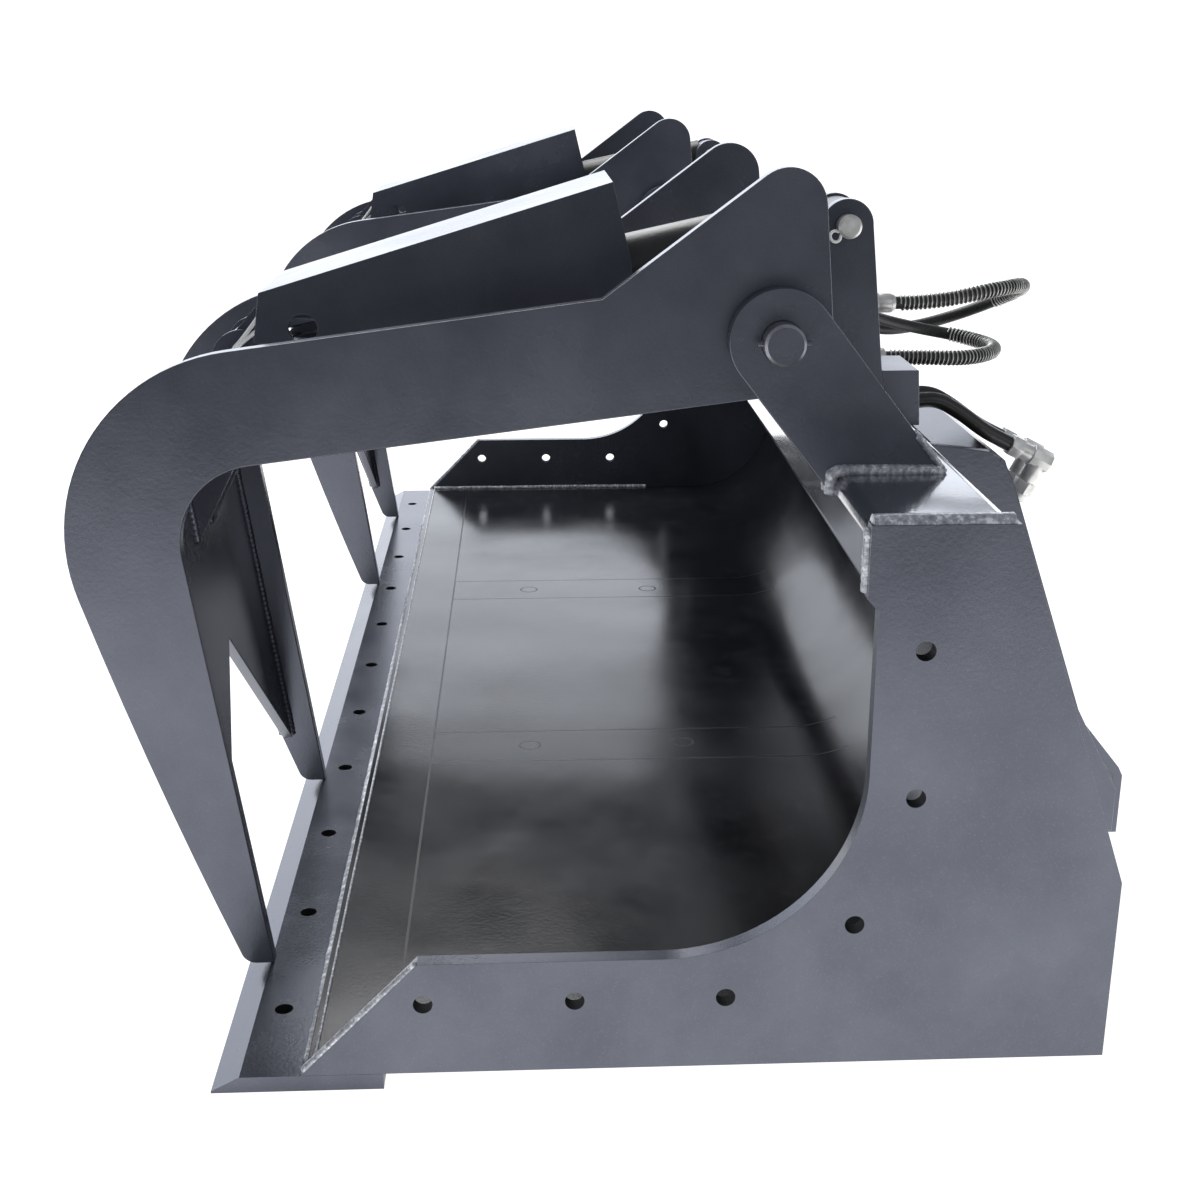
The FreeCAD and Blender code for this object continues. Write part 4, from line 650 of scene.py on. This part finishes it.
def bucket_welds():
    """Edge to floor, side plates to floor and tube, straps, ears and quick-attach frame."""
    form = bmesh.new()
    low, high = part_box("bucket_shell")
    tube_low, tube_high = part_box("top_tube")
    edge_low, edge_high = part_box("cutting_edge")
    half = high.x
    floor_front, floor_under = low.y, edge_high.z
    floor_top = floor_under + 6.35 * MM
    add_bead(form, [(-half, floor_front, floor_under + 2 * MM), (half, floor_front, floor_under + 2 * MM)],
             3.8 * MM)
    add_bead(form, [(-half, floor_front + 5.5 * MM, floor_top), (half, floor_front + 5.5 * MM, floor_top)], 1.2 * MM)
    add_bead(form, [(-half, edge_high.y, 8 * MM), (half, edge_high.y, 8 * MM)])
    for side, sign in SIDES:
        plate_low, plate_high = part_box("side_plate_" + side)
        inside = half * sign
        outside = plate_high.x if sign > 0 else plate_low.x
        add_bead(form, [(inside, floor_front + 4 * MM, floor_top), (inside, -0.02, floor_top)], 4.0 * MM)
        # This narrow bead along the outer edge of the nose slope is partly a weld and partly a painted highlight: in
        # the near-white weld finish it stands in for the bright edge of the slope.
        add_bead(form, [(outside - 3.2 * MM * sign, plate_low.y + 1 * MM, floor_under + 2 * MM),
                        (outside - 3.2 * MM * sign, -302.8 * MM, 101.5 * MM)], 3.0 * MM, roughness=0.5)
        arm = ARM * sign
        for strap_sign in (1, -1):
            for face in (184.85 * MM, 197.55 * MM):
                x = arm + face * strap_sign
                add_bead(form, [(x, tube_low.y - 1 * MM, 405 * MM), (x, tube_low.y - 1 * MM, tube_high.z),
                                (x, tube_low.y + 4 * MM, tube_high.z + 2 * MM),
                                (x, 88 * MM, tube_high.z + 1 * MM)], 5.2 * MM, 0.5)
            for x in (184.85 * MM, 191.2 * MM, 197.55 * MM):
                add_bead(form, [(arm + x * strap_sign, 88.2 * MM, tube_high.z),
                                (arm + x * strap_sign, 66 * MM, 449.4 * MM)], 2.6 * MM)
        for ear_sign in (1, -1):
            for face in (24 * MM, 36 * MM):
                x = arm + face * ear_sign
                add_bead(form, [(x, 17 * MM, tube_high.z), (x, 81 * MM, tube_high.z)])
    own_beads(form, "bucket_weld_beads", "bucket")
    smooth = bmesh.new()
    for side, sign in SIDES:
        x, z = (half + 3.2 * MM) * sign, tube_high.z - 3.5 * MM
        add_bead(smooth, [(x, tube_low.y + 1 * MM, z), (x, tube_high.y - 4 * MM, z)], 9.0 * MM, 0.1)
        x = (half + 3 * MM) * sign
        add_bead(smooth, [(x, tube_low.y + 1 * MM, tube_low.z + 2 * MM),
                          (x, tube_low.y + 1 * MM, tube_high.z - 4 * MM)], 4.5 * MM, 0.4)
    # The tube-end beads take the weld finish with its painted highlights.
    own_beads(smooth, "tube_end_beads", "bucket")
    rear = bmesh.new()
    plate_low, plate_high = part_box("attach_plate")
    gusset_low, gusset_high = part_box("attach_gussets")
    for sign in (1, -1):
        for inset in (0, 10 * MM):
            x = (gusset_high.x - inset) * sign
            add_bead(rear, [(x, 107.5 * MM, 403.5 * MM), (x, 183 * MM, 190.5 * MM)])
        x = plate_high.x * sign
        add_bead(rear, [(x, plate_high.y, plate_low.z), (x, plate_low.y + 6 * MM, plate_high.z)], 3.5 * MM)
    add_bead(rear, [(-half, 108 * MM, 405 * MM), (half, 108 * MM, 405 * MM)], 4.0 * MM)
    own_beads(rear, "frame_weld_beads", "bucket", "painted_steel")


def arm_welds(side, sign):
    """Front web to tines, lugs to web, tie tube to tines and guard to tie tube."""
    form = bmesh.new()
    arm = ARM * sign
    web_low, web_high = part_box("front_web_" + side)
    tie_low, tie_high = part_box("tie_tube_" + side)
    tie = ((tie_low.y + tie_high.y) / 2, (tie_low.z + tie_high.z) / 2)
    for end in (web_low.x, web_high.x):
        for thickness in (0, 10 * MM):
            top = (end, web_low.y + thickness, web_high.z - 1 * MM)
            foot = (end, web_high.y - 10 * MM + thickness, web_low.z + 4 * MM)
            add_bead(form, [top, foot], 3.6 * MM)
        add_bead(form, circle((end, *tie), (1, 0, 0), 19 * MM), 3.4 * MM)
    for offset in (-36 * MM, -24 * MM, 24 * MM, 36 * MM):
        add_bead(form, [(arm + offset, -496 * MM, 327 * MM), (arm + offset, -505.5 * MM, 396 * MM)], 3.6 * MM)
    for offset in (-70 * MM, 70 * MM):
        add_bead(form, circle((arm + offset, *tie), (1, 0, 0), 19.5 * MM), 2.8 * MM)
    own_beads(form, "arm_weld_beads_" + side, "arm_" + side, "painted_steel")


def cylinder_welds(side, sign):
    """The ring weld between the barrel's end cap and its eye, and the ports' feet."""
    form = bmesh.new()
    middle = BASE_PIN + Vector((ARM * sign, 0, 0))
    add_bead(form, circle(middle + REACH * 29 * MM, REACH, 23 * MM), 3.0 * MM)
    for reach in (62 * MM, 333 * MM):
        foot = middle + REACH * reach - Vector((28.3 * MM * sign, 0, 0))
        add_bead(form, circle(foot, (1, 0, 0), 11 * MM), 2.2 * MM)
    own_beads(form, "barrel_weld_beads_" + side, "cylinder_" + side)
    wiper = bmesh.new()
    face = middle + REACH * 365 * MM
    add_bar(wiper, face - REACH * 1 * MM, face + REACH * 1.6 * MM, 19 * MM, far_radius=16.4 * MM)
    ease(wiper, 0.4 * MM)
    name = "rod_wiper_" + side
    own(name, mesh_of(wiper, name), "cylinder_" + side, "hose_rubber")


class GRAPPLE_OT_hoses(bpy.types.Operator):
    """Lay the hoses and wind their spring guards"""
    bl_idname = "grapple.hoses"
    bl_label = "Hoses"

    def execute(self, context):
        sizes = context.scene.grapple_hose
        for side, sign in SIDES:
            tubes, springs = [], []
            for name, route, guarded in (("upper", UPPER_HOSE, 0.37), ("lower", LOWER_HOSE, 0.44)):
                points = [(ARM * sign - across * sign, y, z) for across, y, z in route]
                tubes.append(curve_mesh(f"hose_{name}_{side}", points, sizes.diameter / 2, rounds=6))
                springs.append(spring_mesh(f"spring_{name}_{side}", points, guarded, sizes))
            hose = own("hydraulic_hoses_covered_" + side, join_meshes("hoses_" + side, tubes), None,
                       "hose_rubber")
            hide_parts("hydraulic_hoses_" + side)
            spring = own("hose_spring_guards_" + side, join_meshes("springs_" + side, springs), None,
                         "spring")
            for piece in (hose, spring):
                for face in piece.data.polygons:
                    face.use_smooth = True
                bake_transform(piece)
        return {"FINISHED"}


def spring_mesh(name, points, guarded, sizes):
    """A guard wound round the hose from its outlet along a share of its length."""
    line = curve_mesh(name + "_line", points)
    spots = [vertex.co.copy() for vertex in line.vertices]
    bpy.data.meshes.remove(line)
    reach, lengths = 0.0, [0.0]
    for before, after in zip(spots, spots[1:]):
        reach += (after - before).length
        lengths.append(reach)
    radius = sizes.diameter / 2 + sizes.spring_wire / 2
    first, last = 4 * MM, reach * guarded
    turns_per_point = 14
    count = int((last - first) / sizes.spring_pitch * turns_per_point)
    helix = []
    place = 0
    above = Vector((0, 0, 1))
    for index in range(count + 1):
        along = first + (last - first) * index / count
        while lengths[place + 1] < along:
            place += 1
        way = (spots[place + 1] - spots[place]).normalized()
        share = (along - lengths[place]) / (lengths[place + 1] - lengths[place])
        centre = spots[place].lerp(spots[place + 1], share)
        across = way.cross(above).normalized()
        above = across.cross(way)
        angle = 2 * math.pi * index / turns_per_point
        helix.append(centre + (across * math.cos(angle) + above * math.sin(angle)) * radius)
    return wire_mesh(name, helix, sizes.spring_wire / 2, 1)


class GRAPPLE_OT_fittings(bpy.types.Operator):
    """Make the hose outlets and supply elbows with hexagons and crimped sleeves"""
    bl_idname = "grapple.fittings"
    bl_label = "Hose fittings"

    def execute(self, context):
        form = bmesh.new()
        for side, sign in SIDES:
            x = (ARM - 55 * MM) * sign
            for start, end, z in ((70 * MM, 101 * MM, 509.5 * MM), (84 * MM, 95 * MM, 462 * MM)):
                way = end - start
                add_bar(form, (x, start, z), (x, start + way * 0.5, z), 10.4 * MM, sides=6)
                add_bar(form, (x, start + way * 0.5, z), (x, end - way * 0.12, z), 8.4 * MM)
                add_bar(form, (x, end - way * 0.12, z), (x, end, z), 8.4 * MM, far_radius=6.6 * MM)
                for crimp in (0.58, 0.68, 0.78):
                    middle = start + way * crimp
                    add_bar(form, (x, middle - 0.8 * MM, z), (x, middle + 0.8 * MM, z), 8.5 * MM, sides=12)
        supply_elbows(form)
        ease(form, 0.5 * MM)
        piece = own("hose_fittings_detailed", mesh_of(form, "hose_fittings_detailed"), "bucket",
                    "zinc_plated_steel")
        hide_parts("hose_fittings")
        return {"FINISHED"}


def supply_elbows(form):
    """Two forged elbows with swivel nuts on the supply pipes."""
    fall = math.radians(-26.6)
    along = Vector((0, math.cos(fall), math.sin(fall)))
    down = Vector((0, math.sin(fall), -math.cos(fall)))
    for x in (508 * MM, 480 * MM):
        foot = Vector((x, 193 * MM, 398 * MM))
        corner = foot + along * 30 * MM
        add_bar(form, foot, foot + along * 11 * MM, 9.9 * MM, sides=6)
        add_bar(form, foot + along * 11 * MM, corner + along * 2 * MM, 7.6 * MM)
        add_bar(form, corner - along * 9 * MM, corner + along * 9.4 * MM, 9.6 * MM, sides=8)
        add_bar(form, corner, corner + down * 24 * MM, 7.6 * MM)
        add_bar(form, corner + down * 22 * MM, corner + down * 33 * MM, 9.9 * MM, sides=6)
        add_bar(form, corner + down * 33 * MM, corner + down * 39.5 * MM, 7.4 * MM)


class GRAPPLE_OT_cotters(bpy.types.Operator):
    """Fit the cotters of the cylinder pins"""
    bl_idname = "grapple.cotters"
    bl_label = "Cotters"

    def execute(self, context):
        for side, sign in SIDES:
            for end in (1, -1):
                name = "outer" if end > 0 else "inner"
                x = (ARM + 43.6 * MM * end) * sign
                base_cotter(f"base_pin_cotter_{name}_{side}", x)
                rod_cotter(f"rod_pin_cotter_{name}_{side}", x, side)
        return {"FINISHED"}


def cotter(name, legs, body, wire):
    """A split pin from its control points, with its round wire of this radius."""
    mesh = join_meshes(name, [curve_mesh(name + str(index), leg, wire) for index, leg in enumerate(legs)])
    for face in mesh.polygons:
        face.use_smooth = True
    # The cotters' wire finish is painted near-white as a painted highlight.
    own(name, mesh, body, "zinc_wire")


def base_cotter(name, x):
    """Its eye stands out in front of the pin, below the middle."""
    along, across = Vector((0, -0.83, -0.56)), Vector((0, 0.56, -0.83))
    half = [(-8, 0.9), (7.5, 0.9), (9.5, 1.6), (11.5, 4.2), (14.5, 4.6), (17.5, 2.4)]
    spots = half + [(reach, -aside) for reach, aside in reversed(half)]
    middle = Vector((x, BASE_PIN.y, BASE_PIN.z))
    cotter(name, [[middle + (along * reach + across * aside) * MM for reach, aside in spots]], "bucket", 1.2 * MM)


def rod_cotter(name, x, side):
    """Its two legs are splayed behind the pin."""
    legs = ([(-4, -12), (-7, 2), (-8.4, 9.8), (2, 20), (17.4, 40)],
            [(-2, -12), (-4.5, 2), (-5, 11), (2, 17.5), (18.3, 29.7)])
    cotter(name, [[(x, ROD_PIN.y + y * MM, ROD_PIN.z + z * MM) for y, z in leg] for leg in legs], "rod_" + side,
           1.7 * MM)


class GRAPPLE_OT_stage(bpy.types.Operator):
    """Set the floor, the soft light and the camera"""
    bl_idname = "grapple.stage"
    bl_label = "Stage"

    def execute(self, context):
        scene = context.scene
        scene.view_settings.view_transform = "Standard"
        make_floor()
        make_world(scene)
        make_lamps()
        make_camera(scene)
        return {"FINISHED"}


def make_floor():
    """A wide white floor that shows white to the camera but keeps the object's soft shadow. Light and
    reflections find it brightest round the object, and dark under it."""
    form = bmesh.new()
    bmesh.ops.create_grid(form, x_segments=1, y_segments=1, size=30)
    mesh = bpy.data.meshes.new("studio_floor")
    form.to_mesh(mesh)
    form.free()
    floor = bpy.data.objects.new("studio_floor", mesh)
    floor.location.z = -0.5 * MM
    bpy.context.scene.collection.objects.link(floor)
    material, tree, place = new_material("white_studio_floor")
    axes = add_node(tree, "ShaderNodeSeparateXYZ", {"Vector": place})
    pool = add_node(tree, "ShaderNodeMapRange", {"Value": axes.outputs["X"]}, interpolation_type="SMOOTHSTEP",
                    From_Min=1.35, From_Max=2.8, To_Min=1.6, To_Max=0.05)
    beside = add_node(tree, "ShaderNodeMapRange", {"Value": calculate(tree, "ABSOLUTE", axes.outputs["X"])},
                      From_Min=0.80, From_Max=0.86, To_Min=0.0, To_Max=1.0)
    middle = calculate(tree, "ABSOLUTE", calculate(tree, "ADD", axes.outputs["Y"], 0.13))
    before = add_node(tree, "ShaderNodeMapRange", {"Value": middle}, From_Min=0.30, From_Max=0.36,
                      To_Min=0.0, To_Max=1.0)
    free = calculate(tree, "MAXIMUM", beside.outputs["Result"], before.outputs["Result"])
    camera = add_node(tree, "ShaderNodeLightPath").outputs["Is Camera Ray"]
    bounce = calculate(tree, "MULTIPLY", pool.outputs["Result"], free)
    strength = calculate(tree, "ADD", calculate(tree, "MULTIPLY", camera, 1.1),
                         calculate(tree, "MULTIPLY", calculate(tree, "SUBTRACT", 1.0, camera), bounce))
    matt = add_node(tree, "ShaderNodeBsdfDiffuse", Color=grey(0.3))
    glow = add_node(tree, "ShaderNodeEmission", {"Strength": strength}, Color=grey(1.0))
    both = add_node(tree, "ShaderNodeAddShader")
    tree.links.new(matt.outputs[0], both.inputs[0])
    tree.links.new(glow.outputs[0], both.inputs[1])
    mesh.materials.append(finish_material(material, tree, both))


def make_world(scene):
    """White to the camera. To the object it is a dim room with one bright wall on its far side."""
    world = bpy.data.worlds.new("white_studio")
    world.use_nodes = True
    tree = world.node_tree
    tree.nodes.clear()
    axes = add_node(tree, "ShaderNodeSeparateXYZ",
                    {"Vector": add_node(tree, "ShaderNodeTexCoord").outputs["Generated"]})
    low = add_node(tree, "ShaderNodeMapRange", {"Value": axes.outputs["Z"]}, interpolation_type="SMOOTHSTEP",
                   From_Min=0.39, From_Max=0.47, To_Min=1.0, To_Max=0.0)
    far = add_node(tree, "ShaderNodeMapRange", {"Value": axes.outputs["X"]}, interpolation_type="SMOOTHSTEP",
                   From_Min=-0.75, From_Max=-0.55, To_Min=1.0, To_Max=0.0)
    wall = calculate(tree, "MULTIPLY", low.outputs["Result"], far.outputs["Result"])
    room = calculate(tree, "ADD", calculate(tree, "MULTIPLY", wall, 1.9), 0.34)
    camera = add_node(tree, "ShaderNodeLightPath").outputs["Is Camera Ray"]
    strength = calculate(tree, "MAXIMUM", room, calculate(tree, "MULTIPLY", camera, 1.2))
    strength = calculate(tree, "MINIMUM", strength,
                         calculate(tree, "ADD", calculate(tree, "MULTIPLY", camera, -1.0), 2.3))
    tint = blend_colours(tree, camera, srgb("eef3fc"), grey(1.0))
    glow = add_node(tree, "ShaderNodeBackground", {"Strength": strength, "Color": tint})
    add_node(tree, "ShaderNodeOutputWorld", {"Surface": glow.outputs[0]})
    scene.world = world


def lamp(name, place, target, size, power):
    """A soft rectangular lamp at a place, turned to a target."""
    data = bpy.data.lights.new(name, "AREA")
    data.shape = "RECTANGLE"
    data.size, data.size_y = size
    data.energy = power
    item = bpy.data.objects.new(name, data)
    item.location = place
    item.rotation_euler = (Vector(target) - Vector(place)).to_track_quat("-Z", "Y").to_euler()
    bpy.context.scene.collection.objects.link(item)


def make_lamps():
    lamp("top_softbox", (-1.1, -0.7, 2.2), (0.2, -0.1, 0.2), (1.8, 1.6), 45)
    lamp("side_softbox", (2.6, 1.4, 1.5), (0.6, 0.1, 0.2), (1.6, 1.6), 5)


# The photograph's camera, from the fit of the bucket's known width
CAMERA_PLACE = (1.8415, -0.2172, 0.7091)
CAMERA_PITCH = 18.52
CAMERA_HEADING = 87.47
CAMERA_LENS = 48.3


def make_camera(scene):
    data = bpy.data.cameras.new("photo_camera")
    data.lens = CAMERA_LENS
    data.sensor_width = 36
    data.clip_start = 0.01
    camera = bpy.data.objects.new("photo_camera", data)
    camera.location = CAMERA_PLACE
    camera.rotation_euler = Euler((math.radians(90 - CAMERA_PITCH), 0, math.radians(CAMERA_HEADING)))
    scene.collection.objects.link(camera)
    scene.camera = camera


class GRAPPLE_PT_panel(bpy.types.Panel):
    """Lists the steps in the sidebar"""
    bl_idname = "GRAPPLE_PT_panel"
    bl_label = "Grapple Bucket"
    bl_space_type = "VIEW_3D"
    bl_region_type = "UI"
    bl_category = "Grapple"

    def draw(self, context):
        for step in STEPS:
            self.layout.operator(step.bl_idname)
        scene = context.scene
        for settings in (scene.grapple_paint, scene.grapple_weld, scene.grapple_hose):
            for name in settings.bl_rna.properties.keys():
                if name not in ("rna_type", "name"):
                    self.layout.prop(settings, name)


STEPS = (GRAPPLE_OT_finishes, GRAPPLE_OT_steelwork, GRAPPLE_OT_welds, GRAPPLE_OT_hoses, GRAPPLE_OT_fittings,
         GRAPPLE_OT_cotters, GRAPPLE_OT_stage)
CLASSES = (PaintSizes, WeldSizes, HoseSizes, *STEPS, GRAPPLE_PT_panel)


def register():
    for item in CLASSES:
        bpy.utils.register_class(item)
    bpy.types.Scene.grapple_paint = PointerProperty(type=PaintSizes)
    bpy.types.Scene.grapple_weld = PointerProperty(type=WeldSizes)
    bpy.types.Scene.grapple_hose = PointerProperty(type=HoseSizes)


def unregister():
    del bpy.types.Scene.grapple_hose
    del bpy.types.Scene.grapple_weld
    del bpy.types.Scene.grapple_paint
    for item in reversed(CLASSES):
        bpy.utils.unregister_class(item)


def main():
    register()
    for step in STEPS:
        area, action = step.bl_idname.split(".")
        getattr(getattr(bpy.ops, area), action)()


if __name__ == "__main__":
    main()
